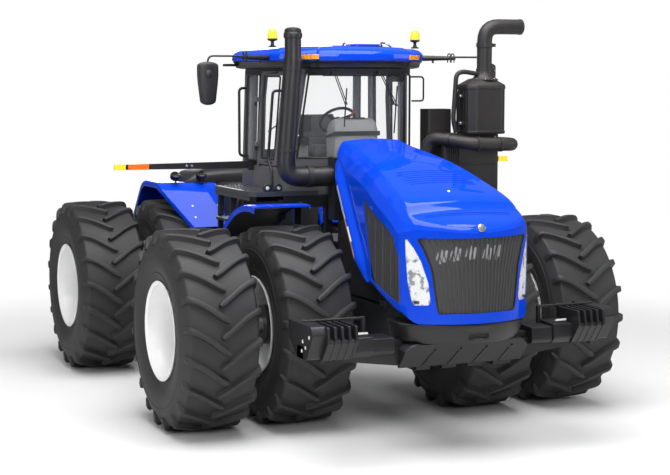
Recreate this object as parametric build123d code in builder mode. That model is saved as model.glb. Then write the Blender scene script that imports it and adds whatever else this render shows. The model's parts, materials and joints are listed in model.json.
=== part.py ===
from build123d import *
import os
from math import cos, radians, sin

# Articulated four-wheel-drive farm tractor on twin wheels. Millimetres, front towards -Y, +Z up.
# The origin is on the ground, on the centreline, under the middle of the tractor's length.

# ---- overall sizes ----
WHEELBASE = 3912.0
NOSE_OVERHANG = 2330.0  # from the front axle to the nose
TAIL_OVERHANG = 1138.0  # from the rear axle to the drawbar's end
TYRE_RADIUS = 1042.5
TYRE_WIDTH = 820.0  # across the bulge of the sidewalls
TREAD_WIDTH = 780.0
TYRE_WALL = 45.0
TWIN_GAP = 205.0  # between the sidewalls of a pair
TRACK_GAP = 1306.0  # between the two inner tyres
RIM_SEAT_RADIUS = 483.0
RIM_FLANGE_RADIUS = 516.0
RIM_WIDTH = 710.0  # between the flanges
RIM_FLANGE = 20.0
RIM_WALL = 18.0
DISC_THICKNESS = 25.0
HUB_RADIUS = 210.0
SHAFT_RADIUS = 80.0
RUNNING_CLEARANCE = 0.05  # round a shaft in its bore
SEAT_GAP = 0.3  # between pieces that touch across a joint
MOVING_GAP = 6.0  # round a panel that opens

LENGTH = NOSE_OVERHANG + WHEELBASE + TAIL_OVERHANG
NOSE_Y = -LENGTH / 2
TAIL_Y = LENGTH / 2
FRONT_AXLE_Y = NOSE_Y + NOSE_OVERHANG
REAR_AXLE_Y = FRONT_AXLE_Y + WHEELBASE
PIVOT_Y = FRONT_AXLE_Y + WHEELBASE / 2
AXLE_Z = TYRE_RADIUS
INNER_WHEEL_X = TRACK_GAP / 2 + TYRE_WIDTH / 2
OUTER_WHEEL_X = INNER_WHEEL_X + TYRE_WIDTH + TWIN_GAP
OVERALL_HALF = OUTER_WHEEL_X + TYRE_WIDTH / 2

# ---- chassis ----
RAIL_OUTER = 380.0  # half the width over the frame rails
RAIL_PLATE = 40.0
RAIL_BOTTOM = 900.0
RAIL_TOP = 1300.0
RAIL_INNER = RAIL_OUTER - RAIL_PLATE
BEAM_HALF = 160.0  # axle beam, half its depth and half its height
TRUMPET_RADIUS = 135.0
TRUMPET_END = TRACK_GAP / 2 - 60.0
SHAFT_INNER_END = RAIL_OUTER + 40.0
HINGE_EAR_HALF = 190.0
HINGE_EAR_THICK = 60.0
HINGE_REACH = 380.0  # from the pivot to the front frame's end plate
PIN_RADIUS = 55.0
YOKE_HALF = 120.0
YOKE_REACH = HINGE_EAR_HALF + 10.0  # from the pivot back to the sleeve
TORQUE_RADIUS = 120.0  # tube in which the rear unit rolls
TORQUE_SLEEVE = 170.0
TORQUE_LENGTH = 300.0
REAR_FRAME_START = PIVOT_Y + YOKE_REACH + TORQUE_LENGTH + MOVING_GAP
REAR_FRAME_END = REAR_AXLE_Y + 760.0
FRONT_FRAME_START = FRONT_AXLE_Y - 1880.0
STEER_X = 260.0  # steering cylinders, from the centreline
STEER_ARM_Y = 60.0  # rod pin, behind the pivot
STEER_LENGTH = 760.0  # from the barrel's pin to the rod's pin
STEER_ARM_Z = (RAIL_BOTTOM + RAIL_TOP) / 2 - 25.0
STEER_ARM_THICK = 50.0
BARREL_RADIUS = 55.0
BARREL_LENGTH = 460.0
STEER_ROD_RADIUS = 25.0
EYE_RADIUS = 46.0
STEER_PIN_RADIUS = 22.0
STEER_Z = STEER_ARM_Z + STEER_ARM_THICK + BARREL_RADIUS - STEER_ROD_RADIUS
BARREL_PIN_Y = PIVOT_Y + STEER_ARM_Y - STEER_LENGTH

# ---- helpers: each adds to (or cuts from) the part being built ----


def block(x0, x1, y0, y1, z0, z1, mode=Mode.ADD):
    """A box between two opposite corners."""
    with Locations(((x0 + x1) / 2, (y0 + y1) / 2, (z0 + z1) / 2)):
        Box(abs(x1 - x0), abs(y1 - y0), abs(z1 - z0), mode=mode)


def outline(plane, points):
    """A flat face with straight edges on a plane."""
    with BuildSketch(plane) as face:
        with BuildLine():
            Polyline(*points, close=True)
        make_face()
    return face.sketch


def side_plate(x0, x1, points, mode=Mode.ADD):
    """Points are (y, z); the plate runs from x0 to x1."""
    extrude(outline(Plane.YZ.offset(x0), points), amount=x1 - x0, mode=mode)


def plan_plate(z0, z1, points, mode=Mode.ADD):
    """Points are (x, y); the plate runs from z0 to z1."""
    extrude(outline(Plane.XY.offset(z0), points), amount=z1 - z0, mode=mode)


def front_plate(y0, y1, points, mode=Mode.ADD):
    """Points are (x, z); the plate runs from y0 to y1."""
    extrude(outline(Plane.XZ.offset(-y1), points), amount=y1 - y0, mode=mode)


def rod(start, end, radius, mode=Mode.ADD):
    """A round bar between two points."""
    axis = Vector(*end) - Vector(*start)
    with BuildSketch(Plane(origin=start, z_dir=axis)) as face:
        Circle(radius)
    extrude(face.sketch, amount=axis.length, mode=mode)


def pipe(points, bend, radius):
    """A round bar along straight runs joined by arcs."""
    with BuildLine() as route:
        FilletPolyline(*points, radius=bend)
    with BuildSketch(Plane(origin=route.line @ 0, z_dir=route.line % 0)) as face:
        Circle(radius)
    sweep(face.sketch, path=route.line)


os.makedirs("parts", exist_ok=True)

# ======== front half of the chassis ========

ARCH_TOP = AXLE_Z + BEAM_HALF
HINGE_PLATE_Y = PIVOT_Y - HINGE_REACH
CAB_FLOOR_Z = 2340.0
CAB_POST = 80.0
CAB_POSTS_Y = (FRONT_AXLE_Y + 560.0, FRONT_AXLE_Y + 1480.0)
OUTRIGGER_Z = CAB_FLOOR_Z - 130.0
CAB_HALF = 850.0


def rail_pair(y0, y1, arch_y):
    """Two frame plates, arched over the axle beam at arch_y."""
    for inner in (RAIL_INNER, -RAIL_OUTER):
        block(inner, inner + RAIL_PLATE, y0, y1, RAIL_BOTTOM, RAIL_TOP)
    block(-RAIL_OUTER, RAIL_OUTER, arch_y - BEAM_HALF, arch_y + BEAM_HALF,
          RAIL_BOTTOM, ARCH_TOP, mode=Mode.SUBTRACT)


with BuildPart() as front_frame:
    rail_pair(FRONT_FRAME_START, HINGE_PLATE_Y, FRONT_AXLE_Y)
    for y in (FRONT_FRAME_START, FRONT_AXLE_Y - 700, HINGE_PLATE_Y - 400):
        block(-RAIL_INNER, RAIL_INNER, y, y + RAIL_PLATE, RAIL_BOTTOM, RAIL_BOTTOM + 180)
    block(-RAIL_OUTER, RAIL_OUTER, HINGE_PLATE_Y - RAIL_PLATE, HINGE_PLATE_Y, RAIL_BOTTOM, RAIL_TOP)
    for side in (-1, 1):
        with Locations((side * STEER_X, HINGE_PLATE_Y - RAIL_PLATE / 2, STEER_Z)):
            Box(2 * (RAIL_INNER - STEER_X), RAIL_PLATE, 2 * BARREL_RADIUS + 30, mode=Mode.SUBTRACT)
        with Locations((side * STEER_X, BARREL_PIN_Y, STEER_Z - BARREL_RADIUS - SEAT_GAP - 20)):
            Cylinder(EYE_RADIUS + 14, 40)
        block(side * STEER_X - 50, side * STEER_X + 50, HINGE_PLATE_Y - 400, BARREL_PIN_Y,
              STEER_Z - BARREL_RADIUS - SEAT_GAP - 40, STEER_Z - BARREL_RADIUS - SEAT_GAP)
        rod((side * STEER_X, BARREL_PIN_Y, STEER_Z - BARREL_RADIUS - 20),
            (side * STEER_X, BARREL_PIN_Y, STEER_Z + BARREL_RADIUS + 10), STEER_PIN_RADIUS)
    for z in (RAIL_BOTTOM, RAIL_TOP - HINGE_EAR_THICK):
        block(-HINGE_EAR_HALF, HINGE_EAR_HALF, HINGE_PLATE_Y, PIVOT_Y, z, z + HINGE_EAR_THICK)
        with Locations((0, PIVOT_Y, z + HINGE_EAR_THICK / 2)):
            Cylinder(HINGE_EAR_HALF, HINGE_EAR_THICK)
            Cylinder(PIN_RADIUS + RUNNING_CLEARANCE, HINGE_EAR_THICK, mode=Mode.SUBTRACT)
    for y in CAB_POSTS_Y:
        for inner in (RAIL_OUTER - CAB_POST, -RAIL_OUTER):
            block(inner, inner + CAB_POST, y, y + CAB_POST, RAIL_TOP, CAB_FLOOR_Z)
        block(-CAB_HALF, CAB_HALF, y, y + CAB_POST, OUTRIGGER_Z, CAB_FLOOR_Z)
front_frame.part.label = "front_frame"
export_step(front_frame.part, "parts/front_frame.step")


def axle_housing(axle_y):
    """Beam between the rails, round trumpets with bores for the wheel shafts, and the final drive."""
    block(-RAIL_OUTER - 30, RAIL_OUTER + 30, axle_y - BEAM_HALF, axle_y + BEAM_HALF,
          AXLE_Z - BEAM_HALF, ARCH_TOP)
    rod((-TRUMPET_END, axle_y, AXLE_Z), (TRUMPET_END, axle_y, AXLE_Z), TRUMPET_RADIUS)
    for side in (-1, 1):
        rod((side * TRUMPET_END, axle_y, AXLE_Z), (side * (TRUMPET_END - 40), axle_y, AXLE_Z),
            TRUMPET_RADIUS + 30)
        rod((side * TRUMPET_END, axle_y, AXLE_Z), (side * SHAFT_INNER_END, axle_y, AXLE_Z),
            SHAFT_RADIUS + RUNNING_CLEARANCE, mode=Mode.SUBTRACT)
    rod((0, axle_y - 320, AXLE_Z), (0, axle_y + 320, AXLE_Z), 240)


for name, y in (("front_axle", FRONT_AXLE_Y), ("rear_axle", REAR_AXLE_Y)):
    with BuildPart() as axle:
        axle_housing(y)
    axle.part.label = name
    export_step(axle.part, f"parts/{name}.step")

# ======== twin wheels ========

BEAD_HALF = RIM_WIDTH / 2
SHOULDER_DROP = 58.0
BULGE_RADIUS = RIM_SEAT_RADIUS + 0.47 * (TYRE_RADIUS - RIM_SEAT_RADIUS)
DISC_INSET = 30.0  # the disc's outer face, inboard of the tyre's middle


def tyre_section(plane):
    """Half section of one tyre: local x is across the tyre, local y is the radius."""
    with BuildSketch(plane) as section:
        with BuildLine():
            Line((-BEAD_HALF, RIM_SEAT_RADIUS), (BEAD_HALF, RIM_SEAT_RADIUS))
            for s in (-1, 1):
                Line((s * BEAD_HALF, RIM_SEAT_RADIUS), (s * BEAD_HALF, RIM_FLANGE_RADIUS + 1))
                ThreePointArc(
                    (s * BEAD_HALF, RIM_FLANGE_RADIUS + 1),
                    (s * TYRE_WIDTH / 2, BULGE_RADIUS),
                    (s * TREAD_WIDTH / 2, TYRE_RADIUS - SHOULDER_DROP),
                )
                Line((s * TREAD_WIDTH / 2, TYRE_RADIUS - SHOULDER_DROP),
                     (s * (TREAD_WIDTH / 2 - 40), TYRE_RADIUS - SHOULDER_DROP / 4))
            ThreePointArc((-TREAD_WIDTH / 2 + 40, TYRE_RADIUS - SHOULDER_DROP / 4), (0, TYRE_RADIUS),
                          (TREAD_WIDTH / 2 - 40, TYRE_RADIUS - SHOULDER_DROP / 4))
        make_face()
        offset(amount=-TYRE_WALL, mode=Mode.SUBTRACT, kind=Kind.INTERSECTION)
        with Locations((0, RIM_SEAT_RADIUS + TYRE_WALL / 2)):
            Rectangle(RIM_WIDTH - 3 * TYRE_WALL, TYRE_WALL * 1.2, mode=Mode.SUBTRACT)
    return section.sketch


def rim_section(plane, disc_side):
    """Half section of a rim: barrel, two flanges, drop centre and the disc down to the hub."""
    half = BEAD_HALF
    with BuildSketch(plane) as section:
        for x0, x1, r0, r1 in (
            (-half - RIM_FLANGE, half + RIM_FLANGE, RIM_SEAT_RADIUS - RIM_WALL, RIM_SEAT_RADIUS),
            (-half - RIM_FLANGE, -half, RIM_SEAT_RADIUS - RIM_WALL, RIM_FLANGE_RADIUS),
            (half, half + RIM_FLANGE, RIM_SEAT_RADIUS - RIM_WALL, RIM_FLANGE_RADIUS),
            (-disc_side * DISC_INSET - DISC_THICKNESS * (disc_side > 0),
             -disc_side * DISC_INSET + DISC_THICKNESS * (disc_side < 0),
             SHAFT_RADIUS - 1, RIM_SEAT_RADIUS - RIM_WALL + 1),
        ):
            with Locations(((x0 + x1) / 2, (r0 + r1) / 2)):
                Rectangle(x1 - x0, r1 - r0)
    return section.sketch


def wheel_plane(x, y):
    """Section plane through a wheel's centre: local x across the wheel, local y up."""
    return Plane(origin=(x, y, AXLE_Z), x_dir=(1, 0, 0), z_dir=(0, -1, 0))


for end, axle_y in (("front", FRONT_AXLE_Y), ("rear", REAR_AXLE_Y)):
    spin_axis = Axis((0, axle_y, AXLE_Z), (1, 0, 0))
    for hand, side in (("right", -1), ("left", 1)):
        with BuildPart() as tyres:
            for wheel_x in (INNER_WHEEL_X, OUTER_WHEEL_X):
                revolve(tyre_section(wheel_plane(side * wheel_x, axle_y)), axis=spin_axis)
        tyres.part.label = f"{end}_{hand}_tyres"
        export_step(tyres.part, f"parts/{end}_{hand}_tyres.step")

        with BuildPart() as wheels:
            for wheel_x in (INNER_WHEEL_X, OUTER_WHEEL_X):
                revolve(rim_section(wheel_plane(side * wheel_x, axle_y), side), axis=spin_axis)
                rod((side * (wheel_x - DISC_INSET - 190), axle_y, AXLE_Z),
                    (side * (wheel_x - DISC_INSET + 40), axle_y, AXLE_Z), HUB_RADIUS)
            rod((side * SHAFT_INNER_END, axle_y, AXLE_Z),
                (side * (OUTER_WHEEL_X - DISC_INSET + 70), axle_y, AXLE_Z), SHAFT_RADIUS)
        wheels.part.label = f"{end}_{hand}_wheels"
        export_step(wheels.part, f"parts/{end}_{hand}_wheels.step")

# ======== articulation: yoke, rear frame, steering cylinders ========

YOKE_BOTTOM = RAIL_BOTTOM + HINGE_EAR_THICK + SEAT_GAP
YOKE_TOP = RAIL_TOP - HINGE_EAR_THICK - SEAT_GAP
TORQUE_Z = (RAIL_BOTTOM + RAIL_TOP) / 2
ROD_BITE = 230.0  # length of rod inside its barrel at rest

with BuildPart() as hinge_yoke:
    block(-YOKE_HALF, YOKE_HALF, PIVOT_Y - YOKE_HALF, PIVOT_Y + YOKE_REACH, YOKE_BOTTOM, YOKE_TOP)
    rod((0, PIVOT_Y, RAIL_BOTTOM), (0, PIVOT_Y, RAIL_TOP), PIN_RADIUS)
    rod((0, PIVOT_Y + YOKE_REACH, TORQUE_Z), (0, PIVOT_Y + YOKE_REACH + TORQUE_LENGTH, TORQUE_Z),
        TORQUE_SLEEVE)
    rod((0, PIVOT_Y + YOKE_REACH + 20, TORQUE_Z), (0, PIVOT_Y + YOKE_REACH + TORQUE_LENGTH, TORQUE_Z),
        TORQUE_RADIUS + RUNNING_CLEARANCE, mode=Mode.SUBTRACT)
    block(-STEER_X, STEER_X, PIVOT_Y + STEER_ARM_Y - 55, PIVOT_Y + STEER_ARM_Y + 55,
          STEER_ARM_Z, STEER_ARM_Z + STEER_ARM_THICK)
    for side in (-1, 1):
        with Locations((side * STEER_X, PIVOT_Y + STEER_ARM_Y, STEER_ARM_Z + STEER_ARM_THICK / 2)):
            Cylinder(55, STEER_ARM_THICK)
hinge_yoke.part.label = "hinge_yoke"
export_step(hinge_yoke.part, "parts/hinge_yoke.step")

for hand, side in (("right", -1), ("left", 1)):
    x = side * STEER_X
    barrel_end = BARREL_PIN_Y + BARREL_LENGTH
    with BuildPart() as barrel:
        rod((x, BARREL_PIN_Y, STEER_Z), (x, barrel_end, STEER_Z), BARREL_RADIUS)
        rod((x, BARREL_PIN_Y, STEER_Z - BARREL_RADIUS), (x, BARREL_PIN_Y, STEER_Z + BARREL_RADIUS),
            BARREL_RADIUS)
        rod((x, barrel_end - ROD_BITE - 165, STEER_Z), (x, barrel_end + 1, STEER_Z),
            STEER_ROD_RADIUS + RUNNING_CLEARANCE, mode=Mode.SUBTRACT)
        rod((x, BARREL_PIN_Y, STEER_Z - BARREL_RADIUS), (x, BARREL_PIN_Y, STEER_Z + BARREL_RADIUS),
            STEER_PIN_RADIUS + RUNNING_CLEARANCE, mode=Mode.SUBTRACT)
    barrel.part.label = f"{hand}_steering_barrel"
    export_step(barrel.part, f"parts/{hand}_steering_barrel.step")

    eye_bottom = STEER_ARM_Z + STEER_ARM_THICK + SEAT_GAP
    with BuildPart() as steering_rod:
        rod((x, barrel_end - ROD_BITE, STEER_Z), (x, PIVOT_Y + STEER_ARM_Y, STEER_Z), STEER_ROD_RADIUS)
        rod((x, PIVOT_Y + STEER_ARM_Y, eye_bottom), (x, PIVOT_Y + STEER_ARM_Y, STEER_Z + 40), EYE_RADIUS)
    steering_rod.part.label = f"{hand}_steering_rod"
    export_step(steering_rod.part, f"parts/{hand}_steering_rod.step")

DRAWBAR_Z = 480.0
DRAWBAR_THICK = 60.0
DRAWBAR_HALF = 65.0
DRAWBAR_PIN_RADIUS = 26.0
DRAWBAR_FRONT = REAR_AXLE_Y + 330.0
HANGER_Y = REAR_FRAME_END - 120.0

with BuildPart() as rear_frame:
    rail_pair(REAR_FRAME_START, REAR_FRAME_END, REAR_AXLE_Y)
    block(-RAIL_OUTER, RAIL_OUTER, REAR_FRAME_START, REAR_FRAME_START + RAIL_PLATE, RAIL_BOTTOM, RAIL_TOP)
    block(-RAIL_OUTER, RAIL_OUTER, REAR_FRAME_END - RAIL_PLATE, REAR_FRAME_END, RAIL_BOTTOM, RAIL_TOP)
    rod((0, PIVOT_Y + YOKE_REACH + 20 + MOVING_GAP, TORQUE_Z), (0, REAR_FRAME_START, TORQUE_Z),
        TORQUE_RADIUS)
    for y in (DRAWBAR_FRONT, HANGER_Y):
        block(-DRAWBAR_HALF - 60, DRAWBAR_HALF + 60, y, y + 60,
              DRAWBAR_Z - 40, RAIL_BOTTOM + 40 if y == HANGER_Y else AXLE_Z - 60)
        block(-DRAWBAR_HALF, DRAWBAR_HALF, y, y + 60, DRAWBAR_Z, DRAWBAR_Z + DRAWBAR_THICK,
              mode=Mode.SUBTRACT)
    block(-RAIL_OUTER, RAIL_OUTER, HANGER_Y, HANGER_Y + 60, RAIL_BOTTOM, RAIL_BOTTOM + 120)
    block(-RAIL_OUTER, RAIL_OUTER, DRAWBAR_FRONT, DRAWBAR_FRONT + 60, RAIL_BOTTOM, RAIL_BOTTOM + 120)
rear_frame.part.label = "rear_frame"
export_step(rear_frame.part, "parts/rear_frame.step")

with BuildPart() as drawbar:
    block(-DRAWBAR_HALF, DRAWBAR_HALF, DRAWBAR_FRONT, TAIL_Y - DRAWBAR_HALF,
          DRAWBAR_Z, DRAWBAR_Z + DRAWBAR_THICK)
    with Locations((0, TAIL_Y - DRAWBAR_HALF, DRAWBAR_Z + DRAWBAR_THICK / 2)):
        Cylinder(DRAWBAR_HALF, DRAWBAR_THICK)
        Cylinder(DRAWBAR_PIN_RADIUS, DRAWBAR_THICK, mode=Mode.SUBTRACT)
drawbar.part.label = "drawbar"
export_step(drawbar.part, "parts/drawbar.step")


def aft(distance):
    """The y of a place that far behind the front axle."""
    return FRONT_AXLE_Y + distance


# ======== engine, radiator and what stands in front of them ========

ENGINE_HALF = 320.0
ENGINE_BOTTOM = AXLE_Z + 240.0 + 30.0
ENGINE_TOP = 2080.0
HOOD_HINGE_Y = aft(130.0)
HOOD_HINGE_Z = 2850.0
BULKHEAD_HALF = 400.0
BULKHEAD_FRONT = aft(270.0)
BULKHEAD_BACK = aft(440.0)
BULKHEAD_TOP = 2760.0

with BuildPart() as engine_block:
    block(-ENGINE_HALF, ENGINE_HALF, aft(-1150), CAB_POSTS_Y[0] - 200, ENGINE_BOTTOM, ENGINE_TOP)
    block(-ENGINE_HALF + 60, ENGINE_HALF - 60, CAB_POSTS_Y[0] - 200, CAB_POSTS_Y[1] - 60,
          RAIL_TOP, ENGINE_TOP - 260)
    for side in (-1, 1):
        for y in (aft(-1000), aft(200)):
            block(side * ENGINE_HALF, side * (RAIL_OUTER - 5), y, y + 160, RAIL_TOP, RAIL_TOP + 60)
engine_block.part.label = "engine_block"
export_step(engine_block.part, "parts/engine_block.step")

RADIATOR_HALF = 520.0
RADIATOR_FRONT = aft(-1900.0)
RADIATOR_BACK = aft(-1350.0)
RADIATOR_TOP = 2060.0

with BuildPart() as radiator:
    block(-RADIATOR_HALF, RADIATOR_HALF, RADIATOR_FRONT, RADIATOR_BACK, RAIL_TOP, RADIATOR_TOP)
    rod((0, RADIATOR_BACK, 1640), (0, aft(-1150), 1640), 110)
radiator.part.label = "radiator"
export_step(radiator.part, "parts/radiator.step")

# ---- bulkhead between hood and cab, with the two hood hinges ----
HINGE_ARM_X = 250.0
HINGE_ARM_THICK = 30.0
HINGE_PIN_RADIUS = 14.0

with BuildPart() as bulkhead:
    block(-BULKHEAD_HALF, BULKHEAD_HALF, BULKHEAD_FRONT, BULKHEAD_BACK, ENGINE_TOP, BULKHEAD_TOP)
    for side in (-1, 1):
        x = side * HINGE_ARM_X
        block(x - HINGE_ARM_THICK / 2, x + HINGE_ARM_THICK / 2, HOOD_HINGE_Y, BULKHEAD_FRONT + 10,
              BULKHEAD_TOP - 80, BULKHEAD_TOP - 20)
        side_plate(x - HINGE_ARM_THICK / 2, x + HINGE_ARM_THICK / 2,
                   [(HOOD_HINGE_Y - 25, HOOD_HINGE_Z), (HOOD_HINGE_Y - 25, BULKHEAD_TOP - 80),
                    (HOOD_HINGE_Y + 60, BULKHEAD_TOP - 80), (HOOD_HINGE_Y + 25, HOOD_HINGE_Z)])
        rod((x - HINGE_ARM_THICK / 2, HOOD_HINGE_Y, HOOD_HINGE_Z),
            (x + HINGE_ARM_THICK / 2, HOOD_HINGE_Y, HOOD_HINGE_Z), 25)
        rod((x - 60, HOOD_HINGE_Y, HOOD_HINGE_Z), (x + 60, HOOD_HINGE_Y, HOOD_HINGE_Z),
            HINGE_PIN_RADIUS)
bulkhead.part.label = "bulkhead"
export_step(bulkhead.part, "parts/bulkhead.step")

# ======== hood: shell, grille, headlights, side grilles ========

HOOD_WALL = 22.0
HOOD_SHOULDER = 60.0
HOOD_CROWN = 55.0
HOOD_BOTTOM = 1300.0
NOSE_HALF = 702.0
NOSE_CORNER_Y = aft(-2000.0)
# Sections from back to front: distance behind the front axle, half width, height of the shoulder.
HOOD_SECTIONS = (
    (180.0, 405.0, 2915.0),
    (-780.0, 550.0, 2755.0),
    (-1420.0, 650.0, 2555.0),
    (-1900.0, 700.0, 2395.0),
    (-2060.0, 705.0, 2290.0),
    (-2400.0, 640.0, 2170.0),
)
# Lower edge of the side panels: distance behind the front axle, height.
HOOD_EDGE = ((260, 2640), (50, 2540), (-900, 1600), (-1220, 1580), (-2000, 1404), (-2120, 1300))


def hood_form(inset, rear_extra=0.0):
    """The hood as a solid, inset from its outer skin and open-ended towards the rear."""
    with BuildPart() as form:
        for distance, half, shoulder in HOOD_SECTIONS:
            y = aft(distance) + (rear_extra if distance > 0 else 0)
            w, top = half - inset, shoulder - inset
            r = HOOD_SHOULDER
            with BuildSketch(Plane.XZ.offset(-y)):
                with BuildLine():
                    Polyline((-w + r, top), (-w, top - r), (-w, HOOD_BOTTOM - 300), (w, HOOD_BOTTOM - 300),
                             (w, top - r), (w - r, top))
                    ThreePointArc((w - r, top), (0, top + HOOD_CROWN), (-w + r, top))
                make_face()
        loft(ruled=True)
        with BuildSketch(Plane.XY.offset(HOOD_BOTTOM - 400)):
            with BuildLine():
                Polyline((-NOSE_HALF + inset, NOSE_CORNER_Y + inset), (-NOSE_HALF - 90, aft(0)),
                         (-NOSE_HALF - 90, aft(500)), (NOSE_HALF + 90, aft(500)), (NOSE_HALF + 90, aft(0)),
                         (NOSE_HALF - inset, NOSE_CORNER_Y + inset))
                ThreePointArc((NOSE_HALF - inset, NOSE_CORNER_Y + inset), (0, NOSE_Y + inset),
                              (-NOSE_HALF + inset, NOSE_CORNER_Y + inset))
            make_face()
        extrude(amount=2500, mode=Mode.INTERSECT)
    return form.part


# Openings in the nose, as (x, z): the grille and the tall headlights beside it.
GRILLE_OUTLINE = ((-560, 2115), (560, 2115), (500, 1830), (390, 1400), (-390, 1400), (-500, 1830))
HEADLIGHT_OUTLINE = ((600, 2090), (655, 2105), (690, 2060), (690, 1500), (637, 1475), (470, 1485),
                     (545, 1790))
HEADLIGHT_BACK = NOSE_CORNER_Y + 10.0
# Side grille, as (distance behind the front axle, z).
SIDE_GRILLE_OUTLINE = ((-1130, 2420), (-1860, 2150), (-1950, 1940), (-1970, 1480), (-1360, 1600))

hood_outer = hood_form(0)
hood_inner = hood_form(HOOD_WALL, rear_extra=200)


def hood_edge_cut(extra=0.0):
    """Removes what lies below the side panels' lower edge."""
    low = HOOD_BOTTOM - 500
    points = [(aft(d), z - extra) for d, z in HOOD_EDGE] + [(aft(-2120), low), (aft(400), low)]
    side_plate(-900, 900, points + [(aft(400), 2640)], mode=Mode.SUBTRACT)
    block(-900, 900, NOSE_Y - 50, aft(-2119), low, HOOD_BOTTOM, mode=Mode.SUBTRACT)


def mirrored(points):
    return [(-x, z) for x, z in points]


def side_points(points):
    return [(aft(d), z) for d, z in points]


HINGE_LUG = 30.0  # thickness and half width of the hood's hinge lugs

with BuildPart() as hinge_lugs:
    lug_inner = HINGE_ARM_X + HINGE_ARM_THICK / 2 + MOVING_GAP
    block(lug_inner, lug_inner + HINGE_LUG, HOOD_HINGE_Y - HINGE_LUG, HOOD_HINGE_Y + HINGE_LUG,
          HOOD_HINGE_Z - HINGE_LUG, HOOD_HINGE_Z + 200)
    add(hood_outer, mode=Mode.INTERSECT)
    rod((lug_inner - 1, HOOD_HINGE_Y, HOOD_HINGE_Z), (lug_inner + HINGE_LUG + 1, HOOD_HINGE_Y, HOOD_HINGE_Z),
        HINGE_PIN_RADIUS + RUNNING_CLEARANCE, mode=Mode.SUBTRACT)
    mirror(about=Plane.YZ)

with BuildPart() as hood:
    add(hood_outer)
    add(hood_inner, mode=Mode.SUBTRACT)
    hood_edge_cut()
    front_plate(NOSE_Y - 20, NOSE_CORNER_Y + 80, GRILLE_OUTLINE, mode=Mode.SUBTRACT)
    for points in (HEADLIGHT_OUTLINE, mirrored(HEADLIGHT_OUTLINE)):
        front_plate(NOSE_Y - 20, HEADLIGHT_BACK, points, mode=Mode.SUBTRACT)
    side_plate(-900, 900, side_points(SIDE_GRILLE_OUTLINE), mode=Mode.SUBTRACT)
    add(hinge_lugs.part)
hood.part.label = "hood"
export_step(hood.part, "parts/hood.step")


def skin(outer_inset, inner_inset):
    """A thin layer of the hood's form, between two insets."""
    return hood_form(outer_inset) - hood_form(inner_inset, rear_extra=200)


grille_skin, lens_skin = skin(6, 18), skin(3, 20)

with BuildPart() as front_grille:
    add(grille_skin)
    front_plate(NOSE_Y - 20, NOSE_CORNER_Y + 80, GRILLE_OUTLINE, mode=Mode.INTERSECT)
front_grille.part.label = "front_grille"
export_step(front_grille.part, "parts/front_grille.step")

with BuildPart() as headlights:
    front_plate(NOSE_Y - 20, HEADLIGHT_BACK, HEADLIGHT_OUTLINE)
    front_plate(NOSE_Y - 20, HEADLIGHT_BACK, mirrored(HEADLIGHT_OUTLINE))
    add(lens_skin, mode=Mode.INTERSECT)
headlights.part.label = "headlights"
export_step(headlights.part, "parts/headlights.step")

with BuildPart() as side_grilles:
    side_plate(-900, 900, side_points(SIDE_GRILLE_OUTLINE))
    add(grille_skin, mode=Mode.INTERSECT)
side_grilles.part.label = "side_grilles"
export_step(side_grilles.part, "parts/side_grilles.step")

# ======== nose cowl, front weights and the boxes beside them ========

COWL_TOP = HOOD_BOTTOM - MOVING_GAP
COWL_BOTTOM = 1100.0
WEIGHT_HALF = 667.0
WEIGHT_BOTTOM = 847.0
BUMPER_HALF = 1640.0
BOX_INNER, BOX_OUTER = 1200.0, 1500.0

with BuildPart() as nose_cowl:
    with BuildSketch(Plane.XY.offset(COWL_BOTTOM)):
        with BuildLine():
            Polyline((-NOSE_HALF + 20, NOSE_CORNER_Y), (-NOSE_HALF + 60, FRONT_FRAME_START),
                     (NOSE_HALF - 60, FRONT_FRAME_START), (NOSE_HALF - 20, NOSE_CORNER_Y))
            ThreePointArc((NOSE_HALF - 20, NOSE_CORNER_Y), (0, NOSE_Y + 60), (-NOSE_HALF + 20, NOSE_CORNER_Y))
        make_face()
    extrude(amount=COWL_TOP - COWL_BOTTOM)
nose_cowl.part.label = "nose_cowl"
export_step(nose_cowl.part, "parts/nose_cowl.step")

with BuildPart() as front_weights:
    side_plate(-WEIGHT_HALF, WEIGHT_HALF,
               [(aft(-2080), COWL_BOTTOM), (aft(-1910), WEIGHT_BOTTOM), (FRONT_FRAME_START, WEIGHT_BOTTOM),
                (FRONT_FRAME_START, COWL_BOTTOM)])
front_weights.part.label = "front_weights"
export_step(front_weights.part, "parts/front_weights.step")

with BuildPart() as bumper_boxes:
    block(RAIL_OUTER, BUMPER_HALF, aft(-1870), aft(-1720), 1000, 1120)
    block(750, BOX_INNER, aft(-2000), aft(-1720), 1000, 1170)
    side_plate(BOX_INNER, BOX_OUTER,
               [(aft(-2150), 1178), (aft(-2120), 1325), (aft(-1720), 1325), (aft(-1720), 990),
                (aft(-2006), 990)])
    side_plate(BOX_OUTER, BUMPER_HALF,
               [(aft(-2110), 1250), (aft(-2060), 1330), (aft(-1500), 1330), (aft(-1500), 1180),
                (aft(-1720), 1000), (aft(-1960), 1000)])
    mirror(about=Plane.YZ)
bumper_boxes.part.label = "bumper_boxes"
export_step(bumper_boxes.part, "parts/bumper_boxes.step")

# ======== cab ========

CAB_WALL = 55.0
CAB_ROOF_Z = 3720.0
CAB_FLOOR_THICK = 60.0
SILL_Z = 2640.0
GLASS_THICK = 12.0
# Half outline of the cab: (x, distance behind the front axle) at the floor and under the roof.
CAB_FRONT = (560.0, 330.0)  # the middle of the curved front, at the same two levels
CAB_CORNERS = (
    ((CAB_HALF - 78, 860), (CAB_HALF - 195, 625)),
    ((CAB_HALF, 1010), (CAB_HALF - 50, 880)),
    ((CAB_HALF, 1950), (CAB_HALF - 30, 1900)),
    ((CAB_HALF - 130, 2160), (CAB_HALF - 150, 2090)),
)


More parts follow.
